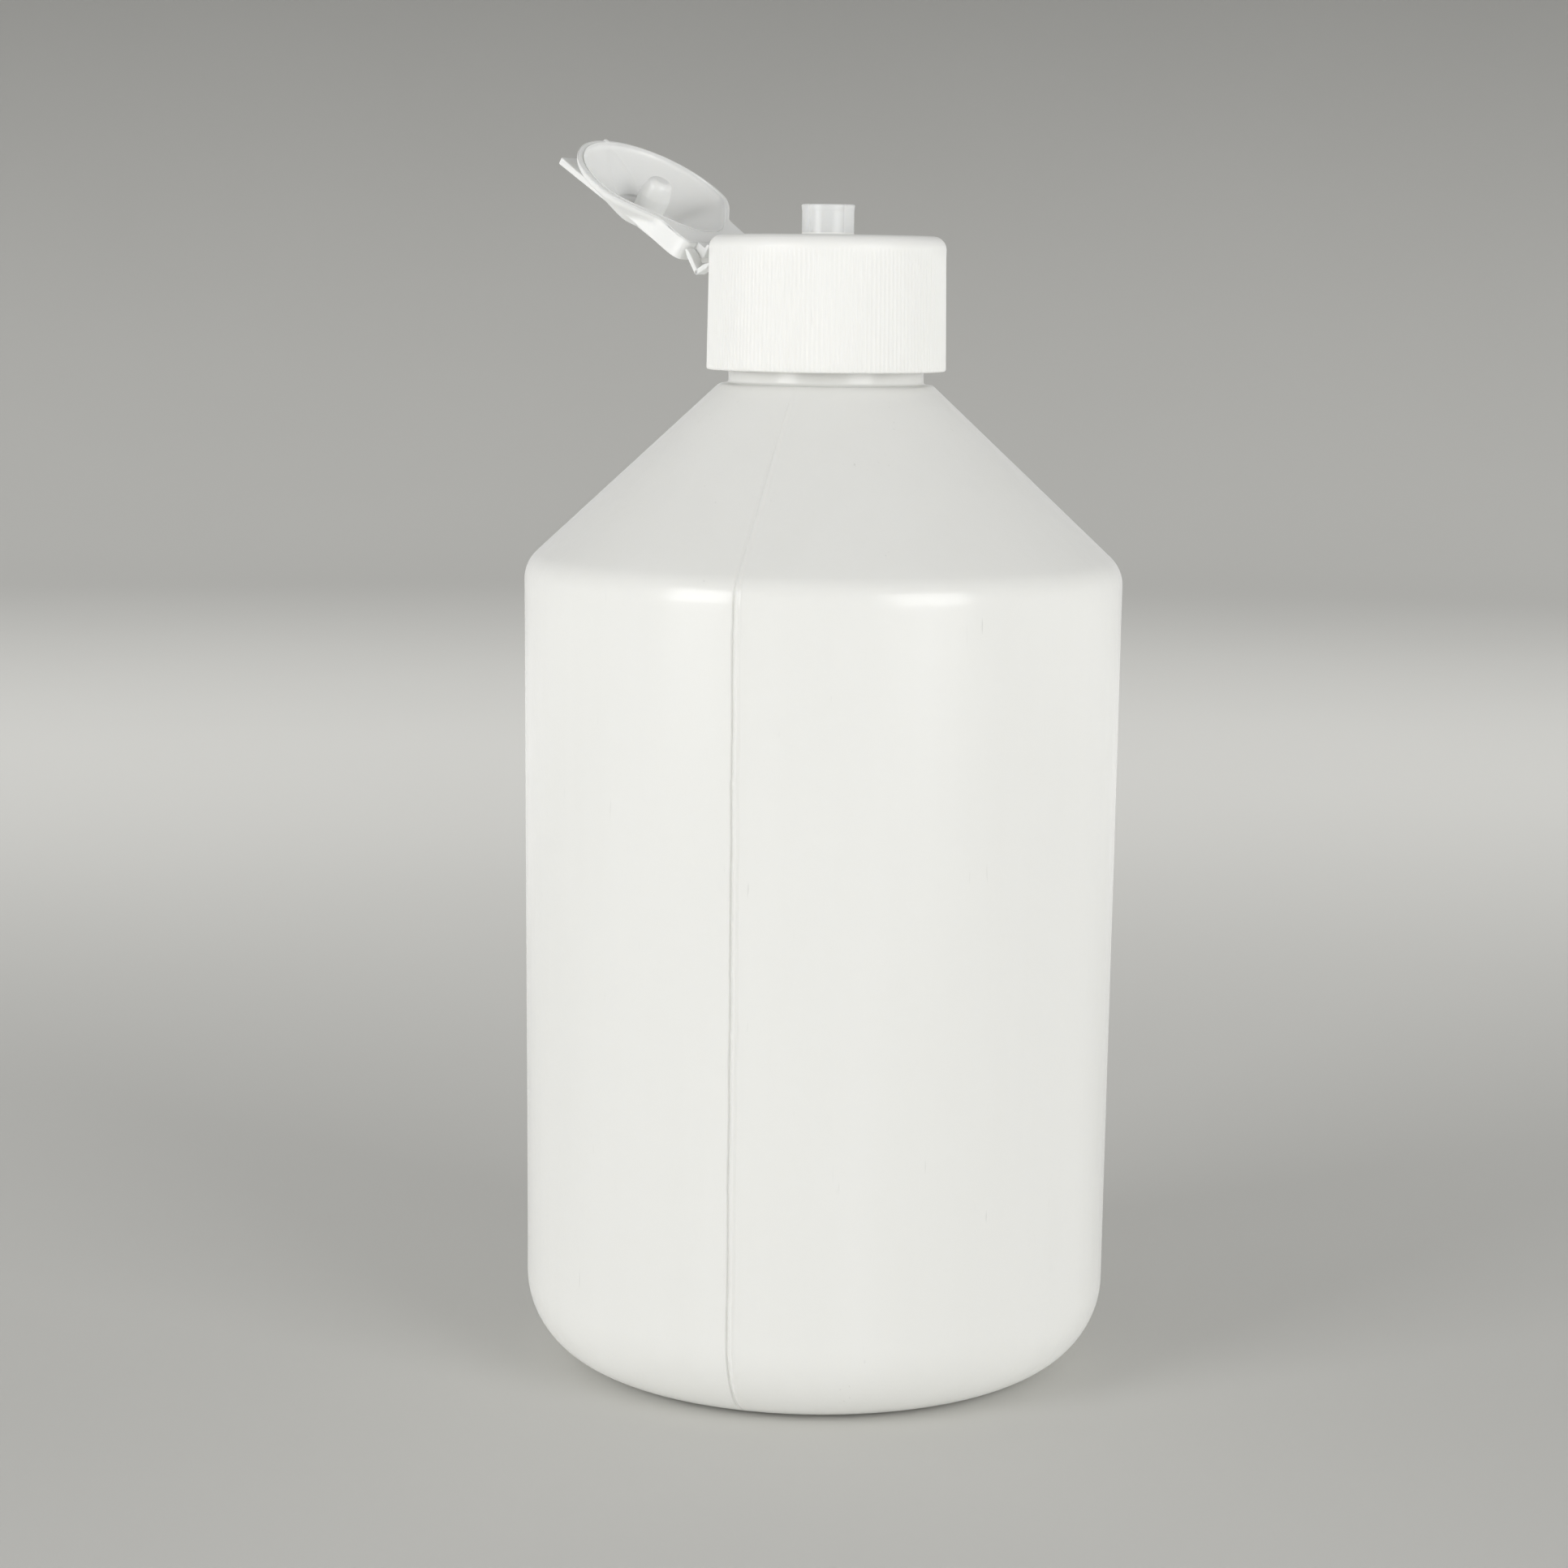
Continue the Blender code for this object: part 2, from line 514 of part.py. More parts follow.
def main():
    clear_scene()
    bottle_plastic = finish_material("bottle_plastic", (0.80, 0.80, 0.78), 0.32)
    cap_plastic = finish_material("cap_plastic", (0.84, 0.84, 0.82), 0.45)
    lid_plastic = finish_material("lid_plastic", (0.83, 0.83, 0.81), 0.40)
    film_plastic = finish_material("film_plastic", (0.78, 0.79, 0.77), 0.35)
    strap_plastic = finish_material("strap_plastic", (0.82, 0.82, 0.80), 0.40)
    gasket_foam = finish_material("gasket_foam", (0.70, 0.71, 0.70), 0.75)

    place = (HINGE_RADIUS * math.cos(HINGE_AZIMUTH),
             HINGE_RADIUS * math.sin(HINGE_AZIMUTH), HINGE_Z)
    hinge = frame_empty("hinge_line", place, (0.0, 0.0, HINGE_AZIMUTH))
    swing = frame_empty("lid_swing", (0.0, 0.0, 0.0), (0.0, -LID_RISE, 0.0), hinge)

    make_bottle(bottle_plastic)
    make_cap(cap_plastic, hinge)
    make_gasket(gasket_foam)
    make_lid(lid_plastic, swing)
    make_film(film_plastic, hinge)
    make_straps(strap_plastic, hinge)


main()
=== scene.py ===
"""Looks of the squeeze bottle with its flip-top cap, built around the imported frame.

Places come from the frame: the boxes of its nodes and the pivots of its joints.
The lid is drawn in its own frame: X away from its hinge, Y along the hinge and Z
out of its open side.
"""

import json
import math

import bmesh
import bpy
from mathutils import Matrix, Vector, noise


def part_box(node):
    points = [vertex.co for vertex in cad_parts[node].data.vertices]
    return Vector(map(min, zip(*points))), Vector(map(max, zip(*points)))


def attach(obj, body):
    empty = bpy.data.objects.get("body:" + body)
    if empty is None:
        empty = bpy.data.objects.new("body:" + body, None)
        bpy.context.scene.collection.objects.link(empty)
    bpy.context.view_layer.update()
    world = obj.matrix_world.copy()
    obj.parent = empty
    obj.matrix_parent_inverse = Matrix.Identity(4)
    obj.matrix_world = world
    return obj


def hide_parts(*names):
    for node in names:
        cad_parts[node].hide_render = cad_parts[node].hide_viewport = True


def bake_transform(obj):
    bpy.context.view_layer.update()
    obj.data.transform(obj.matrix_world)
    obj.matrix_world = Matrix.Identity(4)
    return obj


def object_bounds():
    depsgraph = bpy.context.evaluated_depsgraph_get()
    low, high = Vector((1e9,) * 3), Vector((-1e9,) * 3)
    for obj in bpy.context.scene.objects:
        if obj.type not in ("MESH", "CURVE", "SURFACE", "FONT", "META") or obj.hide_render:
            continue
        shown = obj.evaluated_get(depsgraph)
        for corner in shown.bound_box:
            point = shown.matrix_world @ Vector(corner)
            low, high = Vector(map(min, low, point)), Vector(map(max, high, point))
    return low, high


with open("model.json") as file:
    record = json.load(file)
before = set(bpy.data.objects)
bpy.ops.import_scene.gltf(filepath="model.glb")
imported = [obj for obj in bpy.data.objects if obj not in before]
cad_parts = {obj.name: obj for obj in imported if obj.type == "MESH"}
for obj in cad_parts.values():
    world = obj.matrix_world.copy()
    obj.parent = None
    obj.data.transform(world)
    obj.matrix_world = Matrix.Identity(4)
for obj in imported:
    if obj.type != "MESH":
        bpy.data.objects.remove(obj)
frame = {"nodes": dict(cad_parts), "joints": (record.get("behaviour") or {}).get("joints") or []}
cad_low, cad_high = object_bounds()

MM = 0.001
TURN = 2.0 * math.pi
POLE = 1e-7                        # a radius below this is the axis itself

# Bottle.
CONE_ANGLE = math.radians(43.0)    # slope of the cone above the horizontal
WALL_TAPER = 0.7 * MM              # narrower at the base than at the shoulder
WALL = 1.1 * MM
SHOULDER_FILLET = 4.8 * MM
BASE_CORNER = 11.9 * MM
BASE_FOOT = 3.5 * MM
BASE_DISH = 9.0 * MM
BASE_PUSH_UP = 2.4 * MM
NECK_HEIGHT = 17.1 * MM
NECK_BORE = 10.9 * MM
NECK_ROOT = 13.0 * MM              # the plain foot of the neck, seen under the cap
NECK_ROOT_HEIGHT = 3.4 * MM
THREAD_ROOT = 12.55 * MM
THREAD_CREST = 13.75 * MM
THREAD_PITCH = 4.233 * MM
THREAD_TURNS = 1.5
THREAD_TOP_DROP = 2.2 * MM
THREAD_RIDGE = (2.5 * MM, 1.1 * MM)    # width at the root and near the crest
THREAD_SINK = 0.25 * MM            # how deep a ridge starts inside its wall
THREAD_RUN_OUT = 0.16              # turns over which a ridge rises at each end
RIDGE_LEAST = 0.05                 # share of its height left at its very ends
RIDGE_SHOULDER = 0.22              # where its flank turns over, of the height from the tip
LEDGE = 14.2 * MM
BOTTLE_COLUMNS = 180
SWAY_FOOT = 6.0 * MM               # the wall starts to sway at this height
SWAY_EASE = 14.0 * MM
SWAY_TOP_DROP = 9.0 * MM           # and it starts to stop this far below the shoulder
SWAY_TOP_EASE = 8.0 * MM
SEAM_COLUMNS = 15                  # more of them on each side of a parting line

# Hollows in the wall: azimuth, height, half turn, half height, depth; degrees and mm.
FINGER_DENTS = ((-112.0, 62.0, 9.0, 20.0, 0.30), (-44.0, 46.0, 7.0, 24.0, 0.35),
                (-36.0, 20.0, 6.0, 16.0, 0.25), (-150.0, 40.0, 8.0, 22.0, 0.30))

# The weld across the push-up.
WELD_REACH = 13.0 * MM
WELD_HALF_WIDTH = 0.35 * MM
WELD_HALF_HEIGHT = 0.35 * MM
WELD_ROUNDING = 0.15 * MM

# The mould's parting line, on both sides of the bottle.
SEAM_AZIMUTH = math.radians(254.0)
SEAM_HALF_WIDTH = 0.5 * MM
SEAM_HEIGHT = 0.24 * MM
SEAM_STEP = 0.03 * MM              # one mould half stands this far proud of the other
SEAM_CONE_LOSS = 0.55              # share of its height that is gone on the cone
SEAM_WANDER = 0.12 * MM
SEAM_RAGGED = 0.45                 # how much of its height comes and goes
SEAM_GROOVE_ASIDE = 0.55 * MM
SEAM_GROOVE_HALF_WIDTH = 0.26 * MM
SEAM_NUBS = (103.0, 96.5, 88.5, 84.5, 73.0, 66.5, 60.0, 52.0, 16.0)  # heights, mm
NUB_ASIDE = 0.25 * MM
NUB_RADIUS = 0.7 * MM
NUB_HEIGHT = 0.2 * MM

# Cap.
CAP_DRAFT = 0.25 * MM
CAP_TOP_FILLET = 1.8 * MM
CAP_BORE = 14.2 * MM
CAP_THREAD_CREST = 13.0 * MM
CAP_THREAD_TURNS = 1.25
CAP_THREAD_DROP = 1.62 * MM        # below the neck thread's foot
CAP_THREAD_START = 0.1             # turns from +X
CAP_THREAD_RIDGE = (1.7 * MM, 0.8 * MM)
DECK_THICKNESS = 1.3 * MM
SEAL_RADIUS = 10.7 * MM
SEAL_WALL = 0.9 * MM
SEAL_LENGTH = 2.6 * MM
RIB_COUNT = 160
RIB_DEPTH = 0.13 * MM
RIB_TOP_DROP = 1.8 * MM            # ribs start this far below the deck
RIB_EASE = 0.35 * MM
RIB_LEAST = 0.25                   # the crests are cut in by this share of the depth
SPOUT_HEIGHT = 4.05 * MM
SPOUT_RADIUS = 3.45 * MM
SPOUT_BORE = 2.75 * MM
SPOUT_LIP = 0.12 * MM

# Lid, measured from its middle and from the plane of its rim.
RIM_RADIUS = 12.1 * MM
RIM_BAND = 0.75 * MM
RIM_WALL = 0.85 * MM
CROWN_RADIUS = 4.7 * MM
LID_DEPTH = 5.0 * MM
LID_FLOOR = 4.15 * MM
RIM_CLEARANCE = 0.2 * MM           # from the deck when the lid is shut
PINCH_REACH = 10.7 * MM            # from the middle to the straight sides by the hinge
PINCH_TURN = math.radians(134.0)   # which way those sides face, from the lid's front
BLOCK_HALF_WIDTH = 6.9 * MM        # at the rim; wider below
BLOCK_FLARE = 0.2                  # widening per depth
BLOCK_HEIGHT = 2.8 * MM
BLOCK_BACK = 14.0 * MM
BLOCK_RAMP = 1.3 * MM              # it draws in over this depth past its height
BLOCK_DRAW_IN = 0.62
BLOCK_SQUARENESS = 16.0            # power of the rounded square it is in plan
BLOCK_BLEND = 0.9 * MM
GUSSET_TIP = 0.5 * MM              # depth of its tip below the rim
GUSSET_LENGTH = 3.2 * MM
GUSSET_RISE = 0.26 * MM
GUSSET_TIP_TURN = 2.0              # half its width at the tip, degrees
GUSSET_FLARE = 24.0                # what the other end adds to that
GUSSET_EDGE = math.radians(3.0)
TONGUE_HALF_WIDTH = 4.6 * MM
TONGUE_THICKNESS = 1.05 * MM
TONGUE_FRONT = 14.3 * MM
TONGUE_BACK = 6.0 * MM
TONGUE_TAPER = 0.75                # its width at the back, of its width at the tab
TONGUE_LIFT = 0.4 * MM             # its back end is nearer to the rim by this much
TONGUE_PROUD = 0.3 * MM            # its face stands past the crown
TAB_ROOT_INSET = 1.4 * MM          # from the rim's outside
KNUCKLE_HALF_WIDTH = 4.8 * MM
KNUCKLE_SETBACK = 0.3 * MM         # from the hinge line
KNUCKLE_REACH = 4.0 * MM
KNUCKLE_SINK = 0.02 * MM           # its face below the rim's plane
KNUCKLE_LIP_DROP = 0.65 * MM       # its lip stops this far short of the hinge line
PIN_RADIUS = 2.2 * MM
PIN_PROUD = 1.1 * MM               # its tip stands past the rim's plane
PIN_NOSE_RADIUS = 1.6 * MM
PIN_NOSE_DEPTH = 1.4 * MM          # where its taper ends, below the rim's plane
PIN_FOOT_DEPTH = 3.7 * MM          # where its foot starts to flare
PIN_FOOT_FLARE = 0.45 * MM
PIN_SINK = 0.3 * MM                # its root inside the lid's floor
GATE_RADIUS = 0.34 * MM
GATE_FOOT_RADIUS = 0.5 * MM
GATE_HEIGHT = 0.13 * MM
GATE_SINK = 0.2 * MM
GATE_INSET = 0.2 * MM              # from the rim's outside

# Hinge.
LUG_HALF_WIDTH = 4.7 * MM
LUG_HEIGHT = 1.6 * MM
LUG_DEPTH = 1.6 * MM
LUG_PROUD = 0.15 * MM              # of the cap's skirt
LUG_TOP_SETBACK = 0.1 * MM
LUG_UPRIGHT = 0.62                 # share of its height before it slants back
WEB_HALF_WIDTH = 4.4 * MM
WEB_THICKNESS = 0.3 * MM
WEB_START = (-0.35 * MM, -0.35 * MM)   # outwards and upwards from the hinge line
WEB_END = (0.55 * MM, -0.95 * MM)      # along X and Z of the lid's own frame
WEB_SAG = (0.1 * MM, -0.28 * MM)
STRAP_THICKNESS = 0.7 * MM
STRAP_ROOT_HALF = 0.2 * MM         # half its thickness at the fold line
STRAP_SWELL = (-0.1 * MM, 0.55 * MM)   # where it grows from thin to full
STRAP_HALF_WIDTH = 0.85 * MM
STRAP_ASIDE = 5.95 * MM            # its middle, from the middle of the hinge
STRAP_FOLD = (1.15 * MM, -3.9 * MM)    # outwards and upwards from the hinge line
LOWER_STRAP_ROOT = 0.35 * MM       # how far a panel reaches back past its fold line
UPPER_STRAP_ROOT = 0.3 * MM

# Finishes.
GRIME_SHADE = 0.55                 # a mark's colour, of the plastic's own
STREAK_GLOSS = 0.08                # spread of the roughness between streaks
MARK_GLOSS = 0.2                   # roughness that a mark adds
MARK_DEPTH = 0.6                   # a mark's depth, of the height of the dimples
FOAM_CELLS = 3800.0                # per metre
FOAM_PIT = 0.06 * MM

# Camera.
LENS = 82.8
CAMERA_DISTANCE = 488.9 * MM
CAMERA_PITCH = math.radians(8.04)
CAMERA_ROLL = math.radians(0.69)
CAMERA_AIM_HEIGHT = 79.0 * MM
CAMERA_OFFSET = 4.95 * MM
SENSOR_WIDTH = 36.0

# Studio.
FLOOR_RADIUS = 1.2
WALL_RADIUS = 1.9
WALL_HEIGHT = 1.8
WALL_FILLET = 0.65
LIGHT_AIM_HEIGHT = 90.0 * MM


# ---------------------------------------------------------------- places from the frame

joints = {joint["name"]: joint for joint in frame["joints"]}
bottle_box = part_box("bottle")
cap_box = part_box("cap")

LAND_Z = bottle_box[1].z
LEDGE_Z = LAND_Z - NECK_HEIGHT
CAP_RADIUS = cap_box[1].x
SPOUT_TOP_Z = cap_box[1].z
DECK_Z = SPOUT_TOP_Z - SPOUT_HEIGHT
SKIRT_Z = cap_box[0].z
DECK_UNDER_Z = DECK_Z - DECK_THICKNESS

hinge_point = Vector(joints["lid_swing"]["pos_m"])
hinge_axis = Vector(joints["lid_swing"]["axis"])
hinge_out = Vector((hinge_point.x, hinge_point.y, 0.0)).normalized()
HINGE_RADIUS = Vector((hinge_point.x, hinge_point.y)).length
LID_RISE = math.pi + math.radians(joints["lid_swing"]["range_deg"][0])
RIM_LEVEL = -(DECK_Z - hinge_point.z) - RIM_CLEARANCE


def frame_matrix(origin, x_axis, y_axis):
    """Matrix of a right-handed frame with these X and Y directions."""
    z_axis = x_axis.cross(y_axis)
    turned_axes = Matrix((x_axis, y_axis, z_axis)).transposed().to_4x4()
    return Matrix.Translation(origin) @ turned_axes


hinge_frame = frame_matrix(hinge_point, hinge_out, hinge_axis)
lid_frame = hinge_frame @ Matrix.Rotation(-LID_RISE, 4, "Y")
lid_middle = lid_frame @ Matrix.Translation((HINGE_RADIUS, 0.0, RIM_LEVEL))


# ---------------------------------------------------------------- mesh helpers

def smooth_step(value, low, high):
    share = max(0.0, min(1.0, (value - low) / (high - low)))
    return share * share * (3.0 - 2.0 * share)


def soft_max(a, b, blend):
    """The larger of two lengths, rounded where they meet."""
    overlap = max(blend - abs(a - b), 0.0) / blend
    return max(a, b) + overlap * overlap * blend / 4.0


def soft_min(a, b, blend):
    return -soft_max(-a, -b, blend)


def bump(distance, half_width):
    """A rounded hump, 1 in the middle and 0 beyond its half width."""
    share = max(0.0, 1.0 - (distance / half_width) ** 2)
    return share * share


def fillet_points(before, here, after, fillet, grain):
    """Points of the tangent arc that rounds one corner."""
    to_before = (before - here).normalized()
    to_after = (after - here).normalized()
    half = to_before.angle(to_after) / 2.0
    centre = here + (to_before + to_after).normalized() * (fillet / math.sin(half))
    start = here + to_before * (fillet / math.tan(half)) - centre
    end = here + to_after * (fillet / math.tan(half)) - centre
    sweep = start.angle_signed(end)
    steps = max(3, math.ceil(abs(sweep) * fillet / grain))
    return [centre + Matrix.Rotation(-sweep * step / steps, 2) @ start
            for step in range(steps + 1)]


def outline(corners, closed=False, grain=0.3 * MM, run=1.0):
    """Points along (r, z, fillet) corners; straight runs are split every `run`."""
    count = len(corners)
    spots = [Vector(corner[:2]) for corner in corners]
    rounded = []
    for index, corner in enumerate(corners):
        is_end = not closed and index in (0, count - 1)
        if is_end or corner[2] <= 0.0:
            rounded.append(spots[index])
            continue
        after = spots[(index + 1) % count]
        rounded += fillet_points(spots[index - 1], spots[index], after, corner[2], grain)
    points = []
    following = rounded[1:] + (rounded[:1] if closed else [])
    for here, there in zip(rounded, following):
        pieces = max(1, math.ceil((there - here).length / run))
        points += [here.lerp(there, step / pieces) for step in range(pieces)]
    if not closed:
        points.append(rounded[-1])
    return [(point.x, point.y) for point in points]


def even_angles(count):
    return [TURN * step / count for step in range(count)]


def turned(points, angles, closed=False, shape=None):
    """Turn an outline about Z; shape(index, r, z, angle) gives each point's radius."""
    bm = bmesh.new()
    poles = {index: bm.verts.new((0.0, 0.0, z))
             for index, (r, z) in enumerate(points) if r < POLE}
    columns = []
    for angle in angles:
        column = []
        for index, (r, z) in enumerate(points):
            if index in poles:
                column.append(poles[index])
                continue
            reach = shape(index, r, z, angle) if shape else r
            column.append(bm.verts.new((reach * math.cos(angle),
                                        reach * math.sin(angle), z)))
        columns.append(column)
    rows = len(points) if closed else len(points) - 1
    for here, there in zip(columns, columns[1:] + columns[:1]):
        for row in range(rows):
            after = (row + 1) % len(points)
            corners = [here[row], there[row], there[after], here[after]]
            bm.faces.new(list(dict.fromkeys(corners)))
    return bm


def lofted(rings, cap_ends=True):
    """A skin over rings of points, joined in order."""
    bm = bmesh.new()
    rows = [[bm.verts.new(point) for point in ring] for ring in rings]
    size = len(rows[0])
    for row, following in zip(rows, rows[1:]):
        for k in range(size):
            m = (k + 1) % size
            bm.faces.new((row[k], row[m], following[m], following[k]))
    if cap_ends:
        bm.faces.new(rows[0][::-1])
        bm.faces.new(rows[-1])
    return bm


def slab(points, half_width, centre=0.0):
    """A flat outline in X and Z, given its thickness along Y."""
    near = [(x, centre - half_width, z) for x, z in points]
    far = [(x, centre + half_width, z) for x, z in points]
    return lofted([near, far])


def soften(bm, width, segments=3, sharper_than=math.radians(25.0)):
    """Round the edges of a slab that turn more than the given angle."""
    bm.normal_update()
    edges = [edge for edge in bm.edges
             if edge.is_manifold and edge.calc_face_angle() > sharper_than]
    bmesh.ops.bevel(bm, geom=edges, offset=width, segments=segments, profile=0.5,
                    affect="EDGES", clamp_overlap=True)
    return bm


def helix(root, crest, widths, turns, start_z, start_turn, steps_per_turn=72):
    """A thread ridge from its root in a wall to its crest, run out at both ends."""
    steps = round(turns * steps_per_turn)
    rings = []
    for step in range(steps + 1):
        share = step / steps
        angle = TURN * (start_turn + turns * share)
        ease = smooth_step(share * turns, 0.0, THREAD_RUN_OUT)
        ease *= smooth_step((1.0 - share) * turns, 0.0, THREAD_RUN_OUT)
        tip = root + (crest - root) * max(ease, RIDGE_LEAST)
        z = start_z + turns * share * THREAD_PITCH
        base, top = widths[0] / 2.0, widths[1] / 2.0
        shoulder = tip + (root - tip) * RIDGE_SHOULDER
        section = [(root, -base), (shoulder, -top * 1.25), (tip, -top * 0.7),
                   (tip, top * 0.7), (shoulder, top * 1.25), (root, base)]
        rings.append([(r * math.cos(angle), r * math.sin(angle), z + h)
                      for r, h in section])
    return lofted(rings)


def piece(name, bm, material, body, matrix=None, replaces=(), sharp=35.0):
    """Turn a bmesh into a finished object, riding on a CAD body where one is named."""
    bmesh.ops.remove_doubles(bm, verts=bm.verts, dist=1e-7)
    bmesh.ops.recalc_face_normals(bm, faces=bm.faces)
    mesh = bpy.data.meshes.new(name)
    if matrix:
        bm.transform(matrix)
    bm.to_mesh(mesh)
    bm.free()
    mesh.shade_smooth()
    mesh.set_sharp_from_angle(angle=math.radians(sharp))
    mesh.materials.append(material)
    obj = bpy.data.objects.new(name, mesh)
    bpy.context.scene.collection.objects.link(obj)
    if body:
        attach(obj, body)
    if replaces:
        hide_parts(*replaces)
    return obj


# ---------------------------------------------------------------- shader groups

def new_group(name, inputs, outputs):
    """A shader node group with float inputs (name, default) and named outputs."""
    group = bpy.data.node_groups.new(name, "ShaderNodeTree")
    for label, default in inputs:
        socket = group.interface.new_socket(name=label, in_out="INPUT",
                                            socket_type="NodeSocketFloat")
        socket.default_value = default
    for label in outputs:
        group.interface.new_socket(name=label, in_out="OUTPUT",
                                   socket_type="NodeSocketFloat")
    start = group.nodes.new("NodeGroupInput")
    end = group.nodes.new("NodeGroupOutput")
    return group, start, end


def add_node(tree, kind, **settings):
    node = tree.nodes.new(kind)
    for label, value in settings.items():
        if label in node.inputs:
            node.inputs[label].default_value = value
        else:
            setattr(node, label, value)
    return node


def wire(tree, source, target):
    tree.links.new(source, target)


def arithmetic(tree, operation, a, b):
    """A math node whose two inputs are sockets or plain numbers."""
    node = tree.nodes.new("ShaderNodeMath")
    node.operation = operation
    for slot_index, value in enumerate((a, b)):
        if isinstance(value, (int, float)):
            node.inputs[slot_index].default_value = value
        else:
            wire(tree, value, node.inputs[slot_index])
    return node.outputs[0]


def ramped(tree, value, low, high, start=0.0, end=1.0):
    """A socket's value drawn out from low..high to start..end, and held beyond them."""
    ramp = tree.nodes.new("ShaderNodeMapRange")
    ramp.inputs["From Min"].default_value = low
    ramp.inputs["From Max"].default_value = high
    ramp.inputs["To Min"].default_value = start
    ramp.inputs["To Max"].default_value = end
    wire(tree, value, ramp.inputs["Value"])
    return ramp.outputs["Result"]


def stretched_noise(tree, scale, stretch, detail=3.0, roughness=0.5):
    """Noise over object coordinates, scaled by `stretch` along each axis."""
    place = tree.nodes.new("ShaderNodeTexCoord")
    mapping = tree.nodes.new("ShaderNodeMapping")
    mapping.inputs["Scale"].default_value = stretch
    grain = add_node(tree, "ShaderNodeTexNoise", Detail=detail, Roughness=roughness)
    wire(tree, place.outputs["Object"], mapping.inputs["Vector"])
    wire(tree, mapping.outputs["Vector"], grain.inputs["Vector"])
    if isinstance(scale, (int, float)):
        grain.inputs["Scale"].default_value = scale
    else:
        wire(tree, scale, grain.inputs["Scale"])
    return grain.outputs["Fac"]


def orange_peel_group():
    """The faint dimpled skin of a moulded surface, as a height from 0 to 1."""
    group, start, end = new_group(
        "orange_peel", (("Scale", 900.0), ("Fine", 0.3)), ("Height",))
    broad = stretched_noise(group, start.outputs["Scale"], (1.0, 1.0, 1.0), detail=1.0)
    fine_scale = arithmetic(group, "MULTIPLY", start.outputs["Scale"], 4.3)
    fine = stretched_noise(group, fine_scale, (1.0, 1.0, 1.0), detail=2.0)
    fine_part = arithmetic(group, "MULTIPLY", fine, start.outputs["Fine"])
    wire(group, arithmetic(group, "ADD", broad, fine_part), end.inputs["Height"])
    return group


def flow_lines_group():
    """Long upright streaks left as the plastic was drawn out, from 0 to 1."""
    group, start, end = new_group(
        "flow_lines", (("Scale", 120.0), ("Contrast", 1.0)), ("Streak",))
    lines = stretched_noise(group, start.outputs["Scale"], (1.0, 1.0, 0.06), detail=3.0,
                            roughness=0.55)
    centred = arithmetic(group, "SUBTRACT", lines, 0.5)
    scaled = arithmetic(group, "MULTIPLY", centred, start.outputs["Contrast"])
    wire(group, arithmetic(group, "ADD", scaled, 0.5), end.inputs["Streak"])
    return group


def handling_marks_group():
    """Sparse short scratches and specks from handling, as a mask from 0 to 1."""
    group, start, end = new_group(
        "handling_marks", (("Scale", 90.0), ("Amount", 0.5)), ("Mask",))
    long_scale = arithmetic(group, "MULTIPLY", start.outputs["Scale"], 2.2)
    scratch = stretched_noise(group, long_scale, (9.0, 9.0, 0.8), detail=1.0)
    where = stretched_noise(group, start.outputs["Scale"], (1.0, 1.0, 1.0), detail=2.0)
    narrow = ramped(group, scratch, 0.72, 0.80)
    patch = ramped(group, where, 0.58, 0.66)
    both = arithmetic(group, "MULTIPLY", narrow, patch)
    wire(group, arithmetic(group, "MULTIPLY", both, start.outputs["Amount"]),
         end.inputs["Mask"])
    return group


orange_peel = orange_peel_group()
flow_lines = flow_lines_group()
handling_marks = handling_marks_group()


def use_group(tree, group, **values):
    node = tree.nodes.new("ShaderNodeGroup")
    node.node_tree = group
    for label, value in values.items():
        node.inputs[label].default_value = value
    return node


# ---------------------------------------------------------------- materials

def new_material(name):
    material = bpy.data.materials.new(name)
    material.use_nodes = True
    tree = material.node_tree
    return material, tree, tree.nodes["Principled BSDF"]


def mixed_colour(tree, factor, low, high):
    """A colour between low and high, driven by a factor socket."""
    mix = tree.nodes.new("ShaderNodeMix")
    mix.data_type = "RGBA"
    mix.inputs["A"].default_value = (*low, 1.0)
    mix.inputs["B"].default_value = (*high, 1.0)
    wire(tree, factor, mix.inputs["Factor"])
    return mix.outputs["Result"]


